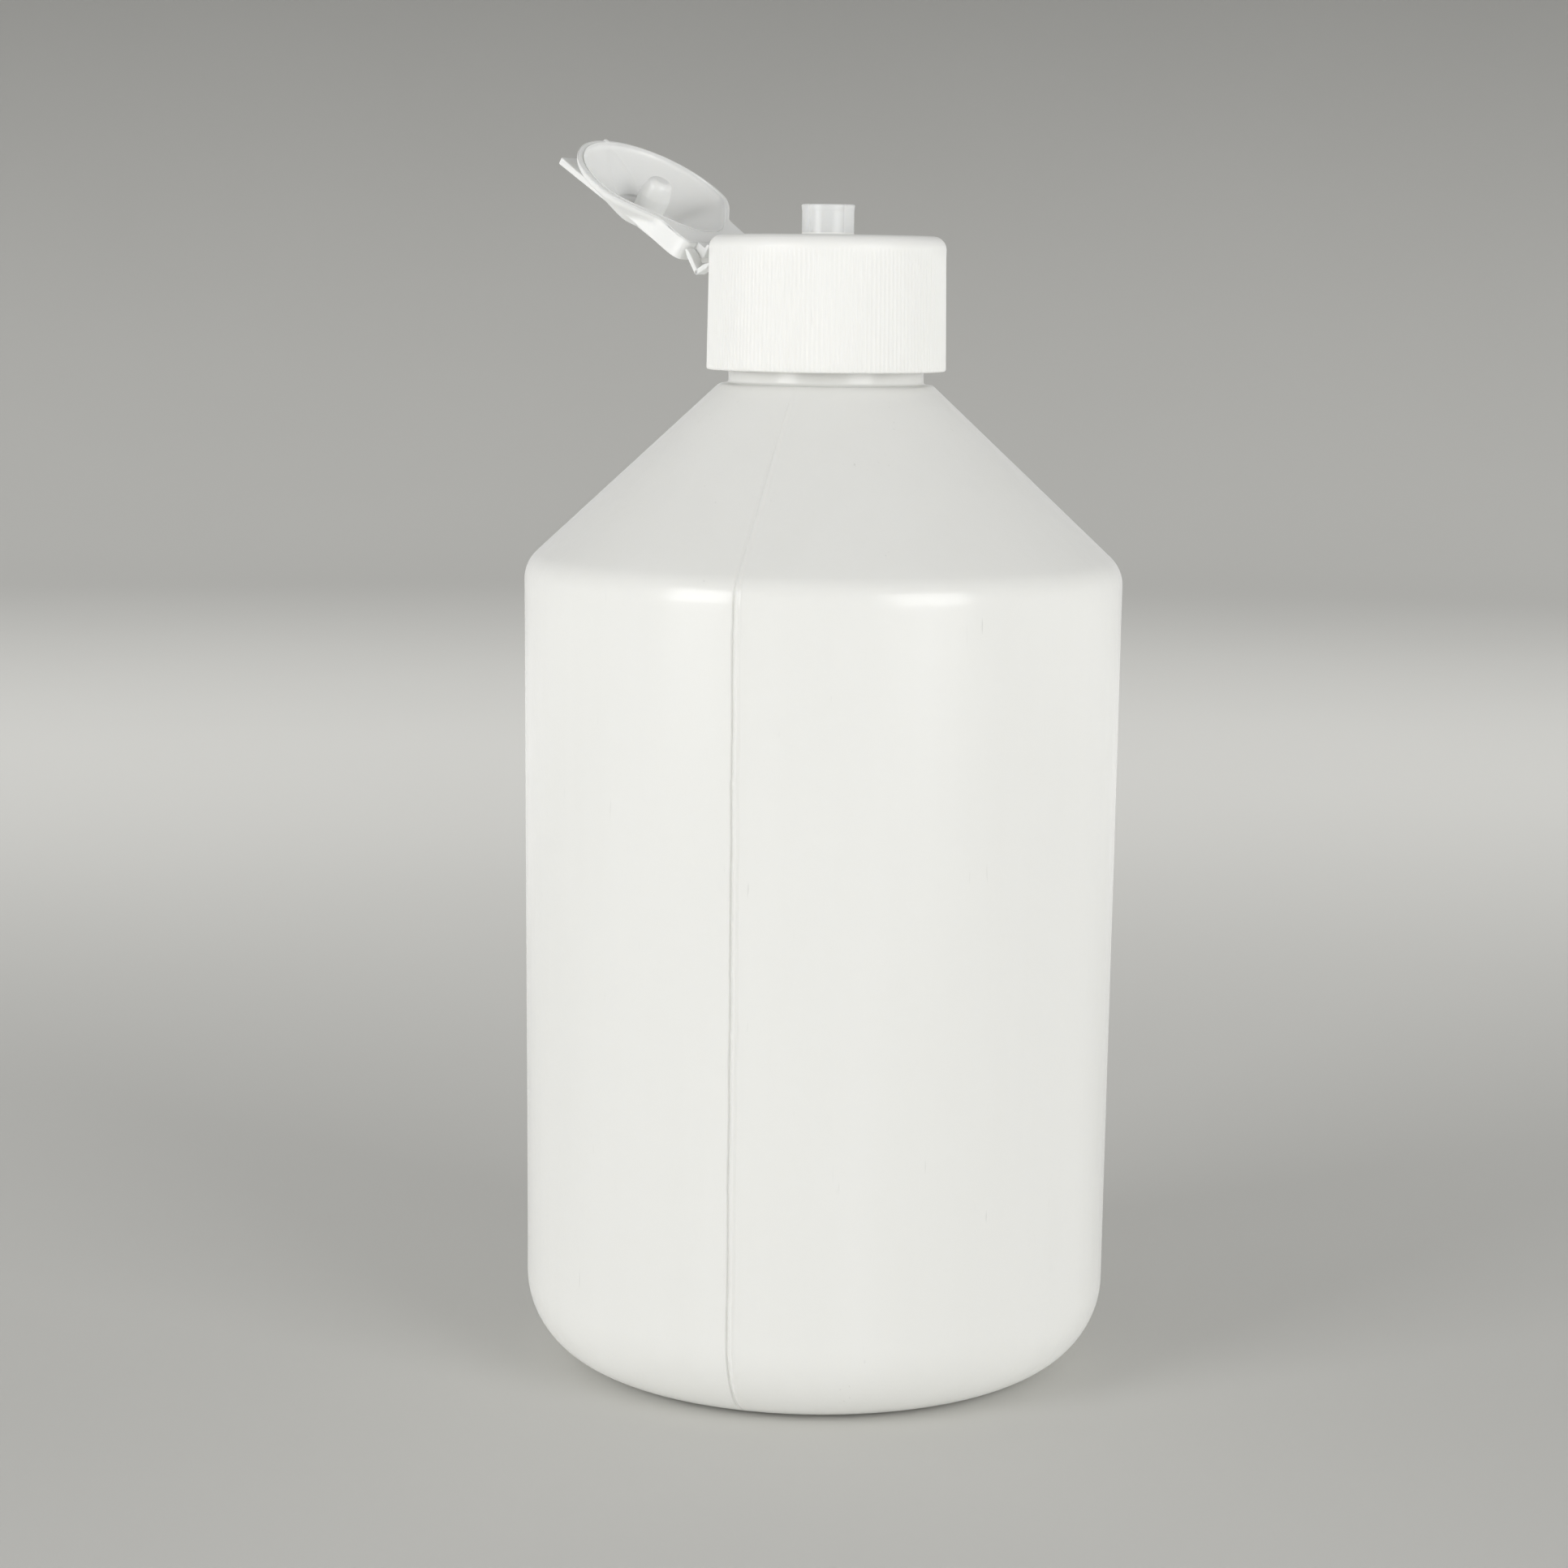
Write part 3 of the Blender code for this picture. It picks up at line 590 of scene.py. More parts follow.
def plastic(name, dark, light, roughness, peel_depth, clear=0.0, glow=0.2,
            peel_scale=900.0, streak_scale=120.0, marks=0.5):
    """White moulded plastic: streaky colour, dimpled skin and a few handling marks."""
    material, tree, shader = new_material(name)
    shader.inputs["IOR"].default_value = 1.5
    shader.inputs["Subsurface Weight"].default_value = glow
    shader.inputs["Subsurface Radius"].default_value = (1.0, 0.95, 0.85)
    shader.inputs["Subsurface Scale"].default_value = 1.2 * MM
    shader.inputs["Transmission Weight"].default_value = clear
    streak = use_group(tree, flow_lines, Scale=streak_scale)
    wear = use_group(tree, handling_marks, Amount=marks)
    peel = use_group(tree, orange_peel, Scale=peel_scale)
    clean = mixed_colour(tree, streak.outputs["Streak"], dark, light)
    grime = tuple(channel * GRIME_SHADE for channel in dark)
    soiled = tree.nodes.new("ShaderNodeMix")
    soiled.data_type = "RGBA"
    soiled.inputs["B"].default_value = (*grime, 1.0)
    wire(tree, clean, soiled.inputs["A"])
    wire(tree, wear.outputs["Mask"], soiled.inputs["Factor"])
    wire(tree, soiled.outputs["Result"], shader.inputs["Base Color"])
    streak_gloss = arithmetic(tree, "MULTIPLY", streak.outputs["Streak"], STREAK_GLOSS)
    worn_gloss = arithmetic(tree, "MULTIPLY", wear.outputs["Mask"], MARK_GLOSS)
    gloss = arithmetic(tree, "ADD", streak_gloss, worn_gloss)
    wire(tree, arithmetic(tree, "ADD", gloss, roughness - STREAK_GLOSS / 2.0),
         shader.inputs["Roughness"])
    relief = tree.nodes.new("ShaderNodeBump")
    relief.inputs["Strength"].default_value = 1.0
    relief.inputs["Distance"].default_value = peel_depth
    marked = arithmetic(tree, "MULTIPLY", wear.outputs["Mask"], -MARK_DEPTH)
    wire(tree, arithmetic(tree, "ADD", peel.outputs["Height"], marked),
         relief.inputs["Height"])
    wire(tree, relief.outputs["Normal"], shader.inputs["Normal"])
    return material


def foam(name, dark, light):
    """Soft closed-cell foam, pitted all over, its colour darkened into each pit as painted
    shade.
    """
    material, tree, shader = new_material(name)
    shader.inputs["Roughness"].default_value = 0.8
    place = tree.nodes.new("ShaderNodeTexCoord")
    cells = add_node(tree, "ShaderNodeTexVoronoi", Scale=FOAM_CELLS)
    wire(tree, place.outputs["Object"], cells.inputs["Vector"])
    # painted shade: the colour darkens into the pits, following the same cells as the bump
    wire(tree, mixed_colour(tree, cells.outputs["Distance"], dark, light),
         shader.inputs["Base Color"])
    relief = tree.nodes.new("ShaderNodeBump")
    relief.inputs["Distance"].default_value = FOAM_PIT
    wire(tree, cells.outputs["Distance"], relief.inputs["Height"])
    wire(tree, relief.outputs["Normal"], shader.inputs["Normal"])
    return material


bottle_plastic = plastic("bottle_plastic", dark=(0.765, 0.765, 0.735),
                         light=(0.80, 0.80, 0.775), roughness=0.21,
                         peel_depth=0.010 * MM, glow=0.15, streak_scale=95.0, marks=0.35)
cap_plastic = plastic("cap_plastic", dark=(0.81, 0.81, 0.785),
                      light=(0.835, 0.835, 0.81), roughness=0.42,
                      peel_depth=0.006 * MM, peel_scale=2600.0, marks=0.25)
lid_plastic = plastic("lid_plastic", dark=(0.80, 0.805, 0.79),
                      light=(0.83, 0.835, 0.82), roughness=0.32,
                      peel_depth=0.006 * MM, glow=0.25, peel_scale=2200.0, marks=0.15)
# painted light: the spout's plastic is the cap's, made paler to stand in for the light the spout
# catches; its transmission and subsurface glow are its real translucency
spout_plastic_painted_light = plastic("spout_plastic_painted_light", dark=(0.86, 0.87, 0.855),
                        light=(0.89, 0.90, 0.885), roughness=0.28,
                        peel_depth=0.004 * MM, clear=0.25, glow=0.5,
                        peel_scale=2200.0, marks=0.1)
web_plastic = plastic("web_plastic", dark=(0.78, 0.785, 0.77),
                      light=(0.82, 0.825, 0.81), roughness=0.32,
                      peel_depth=0.004 * MM, clear=0.2, glow=0.5,
                      peel_scale=2200.0, marks=0.0)
gasket_foam = foam("gasket_foam", dark=(0.55, 0.56, 0.55), light=(0.74, 0.75, 0.74))


# ---------------------------------------------------------------- bottle

def seam_offset(angle):
    """Signed turn from the nearer of the two parting lines, on opposite sides."""
    return (angle - SEAM_AZIMUTH + math.pi / 2.0) % math.pi - math.pi / 2.0


def bottle_angles():
    """Columns all round, crowded together at the two parting lines."""
    coarse = even_angles(BOTTLE_COLUMNS)
    reach = 2.4 * SEAM_HALF_WIDTH / cad_high.x
    fine = [SEAM_AZIMUTH + side * math.pi + reach * step / SEAM_COLUMNS
            for side in (0, 1) for step in range(-SEAM_COLUMNS, SEAM_COLUMNS + 1)]
    kept = [angle for angle in coarse if abs(seam_offset(angle)) > reach * 1.1]
    return sorted(angle % TURN for angle in kept + fine)


def wall_sway(angle, z):
    """Slow waves in the blown wall, mostly upright, up to about 0.1 mm."""
    spot = Vector((math.cos(angle) * 2.4, math.sin(angle) * 2.4, z * 9.0))
    broad = noise.noise(spot)
    spot = Vector((math.cos(angle) * 6.5 + 7.0, math.sin(angle) * 6.5, z * 16.0))
    return (0.10 * broad + 0.035 * noise.noise(spot)) * MM


def finger_dents(angle, z):
    """Shallow hollows where the soft wall gives under a squeeze."""
    depth = 0.0
    for azimuth, height, half_turn, half_height, deep in FINGER_DENTS:
        turn = (math.degrees(angle) - azimuth + 180.0) % 360.0 - 180.0
        spread = (turn / half_turn) ** 2 + ((z / MM - height) / half_height) ** 2
        depth += deep * math.exp(-spread)
    return -depth * MM


def seam_height(angle, r, z):
    """The parting line's bead, a little ragged, with moulding nubs along it."""
    across = seam_offset(angle) * r
    wander = noise.noise(Vector((z * 130.0, 3.7, 0.0))) * SEAM_WANDER
    ragged = 1.0 + SEAM_RAGGED * noise.noise(Vector((z * 900.0, 0.0, 5.1)))
    bead = SEAM_HEIGHT * ragged * bump(across - wander, SEAM_HALF_WIDTH)
    groove_across = across - wander + SEAM_GROOVE_ASIDE
    groove = 0.9 * SEAM_HEIGHT * bump(groove_across, SEAM_GROOVE_HALF_WIDTH)
    step = SEAM_STEP * smooth_step(across, -0.2 * MM, 0.2 * MM)
    step *= bump(across, 2.3 * SEAM_HALF_WIDTH)
    nubs = sum(bump(math.hypot(across + NUB_ASIDE, z - height * MM), NUB_RADIUS)
               for height in SEAM_NUBS)
    return bead - groove + step + NUB_HEIGHT * nubs


def wall_softness(z, shoulder_z):
    """How freely the wall sways: not at the base corner and not at the shoulder."""
    ease = smooth_step(z, SWAY_FOOT, SWAY_FOOT + SWAY_EASE)
    top = shoulder_z - SWAY_TOP_DROP
    return ease * (1.0 - smooth_step(z, top, top + SWAY_TOP_EASE))


def seam_share(z, shoulder_z):
    """What is left of the parting line: less on the cone, nothing at its two ends."""
    share = smooth_step(z, 0.2 * MM, 3.0 * MM)
    on_cone = smooth_step(z, shoulder_z - 1.0 * MM, shoulder_z + 2.0 * MM)
    share *= 1.0 - SEAM_CONE_LOSS * on_cone
    return share * (1.0 - smooth_step(z, LEDGE_Z - 2.5 * MM, LEDGE_Z - 0.5 * MM))


def bottle_shell():
    shoulder = cad_high.x
    base = shoulder - WALL_TAPER
    foot = base - BASE_CORNER
    foot_inner = foot - BASE_FOOT
    dish = foot_inner - BASE_DISH
    rise = math.tan(CONE_ANGLE)
    shoulder_z = LEDGE_Z - (shoulder - LEDGE) * rise
    inset = math.tan((math.pi / 2.0 - CONE_ANGLE) / 2.0)
    inner = shoulder - WALL
    inner_z = shoulder_z - WALL * inset
    neck_z = inner_z + (inner - NECK_BORE) * rise
    step_z = LEDGE_Z + NECK_ROOT_HEIGHT
    inside = [
        (0.0, BASE_PUSH_UP + WALL, 0.0),
        (dish, BASE_PUSH_UP + WALL, 8.0 * MM),
        (foot_inner, WALL, 4.0 * MM),
        (base - WALL, WALL, BASE_CORNER - WALL),
        (inner, inner_z, SHOULDER_FILLET),
        (NECK_BORE, neck_z, 3.0 * MM),
        (NECK_BORE, LAND_Z, 0.3 * MM),
        (THREAD_ROOT, LAND_Z, 0.4 * MM),
    ]
    outside = [
        (THREAD_ROOT, LAND_Z, 0.0),
        (THREAD_ROOT, step_z + 0.5 * MM, 0.4 * MM),
        (NECK_ROOT, step_z, 0.25 * MM),
        (NECK_ROOT, LEDGE_Z, 0.45 * MM),
        (LEDGE, LEDGE_Z, 0.9 * MM),
        (shoulder, shoulder_z, SHOULDER_FILLET),
        (base, 0.0, BASE_CORNER),
        (foot_inner, 0.0, 2.0 * MM),
        (dish, BASE_PUSH_UP, 8.0 * MM),
        (0.0, BASE_PUSH_UP, 0.0),
    ]
    points = outline(inside + outside[1:], grain=0.5 * MM, run=0.9 * MM)
    top = max(range(len(points)), key=lambda index: points[index][1])

    def shape(index, r, z, angle):
        if index <= top or r < NECK_ROOT or z > LEDGE_Z:
            return r
        soft = wall_sway(angle, z) + finger_dents(angle, z)
        soft *= wall_softness(z, shoulder_z)
        return r + soft + seam_share(z, shoulder_z) * seam_height(angle, r, z)

    bm = turned(points, bottle_angles(), shape=shape)
    return piece("bottle_shell", bm, bottle_plastic, "bottle_body",
                 replaces=("bottle",), sharp=50.0)


def base_weld():
    """The weld across the push-up, where the mould pinched the soft tube shut."""
    points = [(-WELD_REACH, -WELD_HALF_HEIGHT), (WELD_REACH, -WELD_HALF_HEIGHT),
              (WELD_REACH, WELD_HALF_HEIGHT), (-WELD_REACH, WELD_HALF_HEIGHT)]
    bm = soften(slab(points, WELD_HALF_WIDTH), WELD_ROUNDING)
    turn = Matrix.Rotation(SEAM_AZIMUTH, 4, "Z")
    return piece("base_weld", bm, bottle_plastic, "bottle_body",
                 matrix=Matrix.Translation((0.0, 0.0, BASE_PUSH_UP)) @ turn)


def neck_thread():
    foot = LAND_Z - THREAD_TOP_DROP - THREAD_TURNS * THREAD_PITCH
    bm = helix(THREAD_ROOT - THREAD_SINK, THREAD_CREST, THREAD_RIDGE, THREAD_TURNS,
               foot, 0.0)
    return piece("neck_thread", bm, bottle_plastic, "bottle_body")


# ---------------------------------------------------------------- cap

def rib_depth(z, angle):
    """How far the skirt's fine upright ribs are cut in at a height."""
    top = DECK_Z - RIB_TOP_DROP
    if z > top:
        return 0.0
    ease = 1.0 - smooth_step(z, top - RIB_EASE, top)
    groove = 0.5 - 0.5 * math.cos(RIB_COUNT * angle)
    return RIB_DEPTH * (RIB_LEAST + (1.0 - RIB_LEAST) * groove) * ease


def cap_shell():
    top_radius = CAP_RADIUS - CAP_DRAFT
    lip = SPOUT_RADIUS + SPOUT_LIP
    outside = [
        (SPOUT_BORE, SPOUT_TOP_Z, 0.18 * MM),
        (lip, SPOUT_TOP_Z, 0.2 * MM),
        (SPOUT_RADIUS, SPOUT_TOP_Z - 0.9 * MM, 1.2 * MM),
        (SPOUT_RADIUS, DECK_Z, 0.35 * MM),
        (top_radius, DECK_Z, CAP_TOP_FILLET),
        (CAP_RADIUS, SKIRT_Z, 0.3 * MM),
    ]
    inside = [
        (CAP_BORE + 0.4 * MM, SKIRT_Z, 0.2 * MM),
        (CAP_BORE, SKIRT_Z + 1.2 * MM, 0.3 * MM),
        (CAP_BORE, DECK_UNDER_Z, 0.3 * MM),
        (SEAL_RADIUS, DECK_UNDER_Z, 0.0),
        (SEAL_RADIUS, DECK_UNDER_Z - SEAL_LENGTH, 0.3 * MM),
        (SEAL_RADIUS - SEAL_WALL, DECK_UNDER_Z - SEAL_LENGTH, 0.2 * MM),
        (SEAL_RADIUS - SEAL_WALL, DECK_UNDER_Z, 0.3 * MM),
        (SPOUT_BORE, DECK_UNDER_Z, 0.25 * MM),
    ]
    points = outline(outside + inside, closed=True, grain=0.2 * MM, run=1.2 * MM)
    outer_wall = 15.0 * MM

    def shape(index, r, z, angle):
        return r - rib_depth(z, angle) if r > outer_wall else r

    bm = turned(points, even_angles(RIB_COUNT * 6), closed=True, shape=shape)
    cap = piece("cap_shell", bm, cap_plastic, "cap_body",
                replaces=("cap",), sharp=40.0)
    # the spout's faces take the paler plastic, whose extra paleness is painted light
    cap.data.materials.append(spout_plastic_painted_light)
    for polygon in cap.data.polygons:
        middle = polygon.center
        if math.hypot(middle.x, middle.y) < lip and middle.z > DECK_Z + 0.3 * MM:
            polygon.material_index = 1
    return cap


def cap_thread():
    foot = LAND_Z - THREAD_TOP_DROP - THREAD_TURNS * THREAD_PITCH
    foot += CAP_THREAD_START * THREAD_PITCH - CAP_THREAD_DROP
    bm = helix(CAP_BORE + THREAD_SINK, CAP_THREAD_CREST, CAP_THREAD_RIDGE,
               CAP_THREAD_TURNS, foot, CAP_THREAD_START)
    return piece("cap_thread", bm, cap_plastic, "cap_body")


def hinge_lug():
    face = -HINGE_RADIUS + CAP_RADIUS + LUG_PROUD
    points = [(face - LUG_DEPTH, 0.0), (face - LUG_TOP_SETBACK, 0.0),
              (face, -LUG_HEIGHT * LUG_UPRIGHT), (face - LUG_DEPTH, -LUG_HEIGHT)]
    bm = soften(slab(points, LUG_HALF_WIDTH), 0.12 * MM)
    return piece("hinge_lug", bm, cap_plastic, "cap_body",
                 matrix=hinge_frame)


# ---------------------------------------------------------------- lid

def block_reach(angle, depth):
    """How far the hinge block reaches from the lid's middle, at a depth."""
    ramp = smooth_step(depth, BLOCK_HEIGHT, BLOCK_HEIGHT + BLOCK_RAMP)
    kept = 1.0 - BLOCK_DRAW_IN * ramp
    half_width = (BLOCK_HALF_WIDTH + BLOCK_FLARE * depth) * kept
    length = BLOCK_BACK * kept
    along, aside = -math.cos(angle), abs(math.sin(angle))
    if along <= 0.0:
        return 0.0
    power = BLOCK_SQUARENESS
    return ((aside / half_width) ** power + (along / length) ** power) ** (-1.0 / power)


def from_front(angle):
    """The turn from the lid's front, the same on both sides."""
    return abs((angle + math.pi) % TURN - math.pi)


def pinched(r, angle):
    """The bowl's radius, drawn in by straight sides towards its hinge."""
    facing = math.cos(from_front(angle) - PINCH_TURN)
    if facing <= 0.05:
        return r
    limit = PINCH_REACH * r / RIM_RADIUS / facing
    return soft_min(r, limit, 0.1 * r)


def lid_shell():
    inside = [
        (0.0, -LID_FLOOR, 0.0),
        (CROWN_RADIUS - 0.26 * MM, -LID_FLOOR, 2.2 * MM),
        (RIM_RADIUS - RIM_WALL - 0.1 * MM, -RIM_BAND + 0.34 * MM, 1.4 * MM),
        (RIM_RADIUS - RIM_WALL, 0.0, 0.22 * MM),
    ]
    outside = [
        (RIM_RADIUS, 0.0, 0.22 * MM),
        (RIM_RADIUS, -RIM_BAND, 1.2 * MM),
        (CROWN_RADIUS, -LID_DEPTH, 1.6 * MM),
        (0.0, -LID_DEPTH, 0.0),
    ]
    points = outline(inside + outside, grain=0.12 * MM, run=0.22 * MM)
    turn_over = RIM_RADIUS - RIM_WALL / 2.0
    rim_index = next(index for index, (r, z) in enumerate(points)
                     if r > turn_over and z > -0.1 * MM)

    def shape(index, r, z, angle):
        depth = -z
        bowl = pinched(r, angle)
        if index < rim_index:
            return bowl - (gusset(angle, depth) if r > CROWN_RADIUS else 0.0)
        if r < 0.8 * CROWN_RADIUS:
            return bowl
        return soft_max(bowl, block_reach(angle, depth), BLOCK_BLEND)

    bm = turned(points, even_angles(288), shape=shape)
    return piece("lid_shell", bm, lid_plastic, "lid_body",
                 matrix=lid_middle, replaces=("lid",), sharp=38.0)


def gusset(angle, depth):
    """A three-cornered flat on the inner wall at the lid's front, its tip at the rim."""
    share = min(1.0, max(0.0, depth - GUSSET_TIP) / GUSSET_LENGTH)
    half = math.radians(GUSSET_TIP_TURN + GUSSET_FLARE * share)
    rise = GUSSET_RISE * smooth_step(share, 0.0, 0.15)
    return rise * (1.0 - smooth_step(from_front(angle), half - GUSSET_EDGE, half))


def lid_tongue():
    """The flat tongue over the lid's crown, whose front end is the thumb tab."""
    under = -LID_DEPTH - TONGUE_PROUD
    top = under + TONGUE_THICKNESS
    points = [(-TONGUE_BACK, under), (TONGUE_FRONT, under), (TONGUE_FRONT, top),
              (RIM_RADIUS - TAB_ROOT_INSET, top), (-TONGUE_BACK, top)]
    bm = slab(points, TONGUE_HALF_WIDTH)
    for vertex in bm.verts:
        if vertex.co.x < 0.0:
            vertex.co.y *= TONGUE_TAPER
            vertex.co.z += TONGUE_LIFT
    soften(bm, 0.16 * MM)
    return piece("lid_tongue", bm, lid_plastic, "lid_body",
                 matrix=lid_middle)


def lid_knuckle():
    """The lip at the lid's back edge that the hinge web joins."""
    edge = -HINGE_RADIUS + KNUCKLE_SETBACK
    front = edge + KNUCKLE_REACH
    lip = -RIM_LEVEL - KNUCKLE_LIP_DROP
    points = [(edge, lip), (edge, -1.2 * MM), (edge + 0.9 * MM, -BLOCK_HEIGHT + 0.2 * MM),
              (front, -BLOCK_HEIGHT + 0.1 * MM), (front, -KNUCKLE_SINK),
              (edge + 0.6 * MM, -KNUCKLE_SINK), (edge + 0.42 * MM, lip)]
    bm = soften(slab(points, KNUCKLE_HALF_WIDTH), 0.12 * MM)
    return piece("lid_knuckle", bm, lid_plastic, "lid_body",
                 matrix=lid_middle)


def plug_pin():
    """The round-nosed pin that stops the spout when the lid is shut."""
    root = -LID_FLOOR - PIN_SINK
    corners = [(0.0, PIN_PROUD, 0.0), (PIN_NOSE_RADIUS, PIN_PROUD, 1.1 * MM),
               (PIN_RADIUS, -PIN_NOSE_DEPTH, 0.8 * MM), (PIN_RADIUS, -PIN_FOOT_DEPTH, 0.0),
               (PIN_RADIUS + PIN_FOOT_FLARE, root, 0.0), (0.0, root, 0.0)]
    bm = turned(outline(corners, grain=0.1 * MM, run=0.4 * MM), even_angles(64))
    return piece("plug_pin", bm, lid_plastic, "lid_body",
                 matrix=lid_middle)


def rim_nub():
    """The small gate mark left on the rim."""
    corners = [(0.0, GATE_HEIGHT, 0.0), (GATE_RADIUS, GATE_HEIGHT, 0.12 * MM),
               (GATE_FOOT_RADIUS, -GATE_SINK, 0.0), (0.0, -GATE_SINK, 0.0)]
    bm = turned(outline(corners, grain=0.05 * MM), even_angles(24))
    spot = Vector((RIM_RADIUS - GATE_INSET, 0.0, 0.0))
    return piece("rim_nub", bm, lid_plastic, "lid_body",
                 matrix=lid_middle @ Matrix.Translation(spot))


# ---------------------------------------------------------------- hinge web and straps

def hinge_web():
    """The thin living hinge, from inside the lug to inside the lid's knuckle."""
    start = Vector(WEB_START)
    lid_end = lid_frame.to_3x3() @ Vector((WEB_END[0], 0.0, WEB_END[1]))
    end = Vector((lid_end.dot(hinge_out), lid_end.z))
    sag = Vector(WEB_SAG)
    steps = 12
    rings = []
    for step in range(steps + 1):
        share = step / steps
        here = start.lerp(end, share) + sag * (4.0 * share * (1.0 - share))
        slope = (end - start) + sag * 4.0 * (1.0 - 2.0 * share)
        across = Vector((-slope.y, slope.x)).normalized() * WEB_THICKNESS / 2.0
        low, high = here - across, here + across
        rings.append([(low.x, -WEB_HALF_WIDTH, low.y), (low.x, WEB_HALF_WIDTH, low.y),
                      (high.x, WEB_HALF_WIDTH, high.y), (high.x, -WEB_HALF_WIDTH, high.y)])
    web = piece("hinge_web", lofted(rings), web_plastic, None,
                matrix=hinge_frame, replaces=("hinge_film",), sharp=60.0)
    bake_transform(web)
    return web


def hinge_plane(point):
    """A place of the frame as (outwards, upwards) from the hinge line."""
    offset = Vector(point) - hinge_point
    return Vector((offset.dot(hinge_out), offset.z))


def strap_panel(name, replaced, start, end, side, reach):
    """One panel of a spring strap: thin at its root, round-ended at the fold."""
    along = (end - start).normalized()
    across = Vector((-along.y, along.x))
    length = (end - start).length
    half = STRAP_THICKNESS / 2.0
    top, bottom = [], []
    steps = 14
    for step in range(steps + 1):
        share = step / steps
        reach_here = -reach + (length + reach) * share
        swell = smooth_step(reach_here, *STRAP_SWELL)
        offset = across * (STRAP_ROOT_HALF + (half - STRAP_ROOT_HALF) * swell)
        spot = start + along * reach_here
        top.append(spot + offset)
        bottom.append(spot - offset)
    nose = [end + (across * math.cos(turn) + along * math.sin(turn)) * half
            for turn in (math.pi * k / 8 for k in range(1, 8))]
    points = [(point.x, point.y) for point in top + nose + bottom[::-1]]
    bm = slab(points, STRAP_HALF_WIDTH, side * STRAP_ASIDE)
    soften(bm, 0.1 * MM, segments=2, sharper_than=math.radians(50.0))
    strap = piece(name, bm, lid_plastic, None, matrix=hinge_frame,
                  replaces=(replaced,), sharp=50.0)
    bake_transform(strap)
    return strap


def spring_straps():
    root = hinge_plane(joints["strap_root_fold"]["pos_m"])
    tip = hinge_plane(joints["strap_tip_fold"]["pos_m"])
    fold = Vector(STRAP_FOLD)
    for side, label in ((1.0, "left"), (-1.0, "right")):
        strap_panel(f"lower_strap_{label}", f"strap_root_{label}", root, fold, side,
                    LOWER_STRAP_ROOT)
        strap_panel(f"upper_strap_{label}", f"strap_tip_{label}", tip, fold, side,
                    UPPER_STRAP_ROOT)


# ---------------------------------------------------------------- studio

def studio_paper_painted_shade():
    """Pale paper with painted shade that darkens it up the wall, and that throws back more light
    than it shows.
    """
    material, tree, shader = new_material("studio_paper_painted_shade")
    shader.inputs["Roughness"].default_value = 0.9
    shader.inputs["Specular IOR Level"].default_value = 0.1
    mottle = stretched_noise(tree, 6.0, (1.0, 1.0, 1.0), detail=2.0)
    plain = mixed_colour(tree, mottle, (0.64, 0.636, 0.61), (0.66, 0.656, 0.63))
    place = tree.nodes.new("ShaderNodeTexCoord")
    split = tree.nodes.new("ShaderNodeSeparateXYZ")
    wire(tree, place.outputs["Object"], split.inputs["Vector"])
    # painted shade: the paper's colour is darkened up the wall, standing in for the light
    # falling off towards its top
    painted_wall_shade = ramped(tree, split.outputs["Z"], 0.0, 0.34, start=1.0, end=0.54)
    paper_with_painted_shade = tree.nodes.new("ShaderNodeVectorMath")
    paper_with_painted_shade.operation = "SCALE"
    wire(tree, plain, paper_with_painted_shade.inputs[0])
    wire(tree, painted_wall_shade, paper_with_painted_shade.inputs["Scale"])
    seen = paper_with_painted_shade.outputs["Vector"]
    path = tree.nodes.new("ShaderNodeLightPath")
    bounce = tree.nodes.new("ShaderNodeMix")
    bounce.data_type = "RGBA"
    bounce.inputs["A"].default_value = (0.92, 0.918, 0.90, 1.0)
    wire(tree, seen, bounce.inputs["B"])
    wire(tree, path.outputs["Is Camera Ray"], bounce.inputs["Factor"])
    wire(tree, bounce.outputs["Result"], shader.inputs["Base Color"])
    return material


def stage_piece(name, corners, material):
    """A turned part of the studio: its floor or its wall."""
    bm = turned(outline(corners, grain=0.05, run=10.0), even_angles(96))
    mesh = bpy.data.meshes.new(name)
    bm.to_mesh(mesh)
    bm.free()
    mesh.shade_smooth()
    mesh.materials.append(material)
    obj = bpy.data.objects.new(name, mesh)
    obj.location.z = cad_low.z
    bpy.context.scene.collection.objects.link(obj)
    return obj


def studio_room():
    """A pale floor, and a wall around it that neither shades nor lights the bottle."""
    paper = studio_paper_painted_shade()
    stage_piece("studio_floor", [(0.0, 0.0, 0.0), (FLOOR_RADIUS, 0.0, 0.0)], paper)
    wall = stage_piece("studio_wall", [(FLOOR_RADIUS, 0.0, 0.0),
                                       (WALL_RADIUS, 0.0, WALL_FILLET),
                                       (WALL_RADIUS, WALL_HEIGHT, 0.0)], paper)
    wall.visible_diffuse = False
    wall.visible_glossy = False
    wall.visible_transmission = False
    wall.visible_shadow = False


def area_light(name, size, power, place, facing):
    light = bpy.data.lights.new(name, "AREA")
    light.shape = "RECTANGLE"
    light.size, light.size_y = size
    light.energy = power
    obj = bpy.data.objects.new(name, light)
    bpy.context.scene.collection.objects.link(obj)
    obj.location = place
    obj.rotation_euler = facing.to_track_quat("-Z", "Y").to_euler()
    return obj


def softbox(name, azimuth, elevation, distance, size, power, mirrored=True):
    """An area light aimed at the bottle; azimuth 0 is on the camera's side."""
    turn, lift = math.radians(azimuth), math.radians(elevation)
    away = Vector((math.sin(turn) * math.cos(lift), -math.cos(turn) * math.cos(lift),
                   math.sin(lift)))
    aim = Vector((0.0, 0.0, LIGHT_AIM_HEIGHT))
    obj = area_light(name, size, power, aim + away * distance, -away)
    obj.visible_glossy = mirrored


def backdrop_light():
    """A light behind the bottle that faces away from it, down to the floor's far edge."""
    obj = area_light("backdrop_light", size=(1.8, 0.3), power=4.6, place=(0.0, 0.5, 0.6),
                     facing=Vector((0.0, 1.0, -0.9)))
    obj.visible_camera = False
    obj.visible_glossy = False


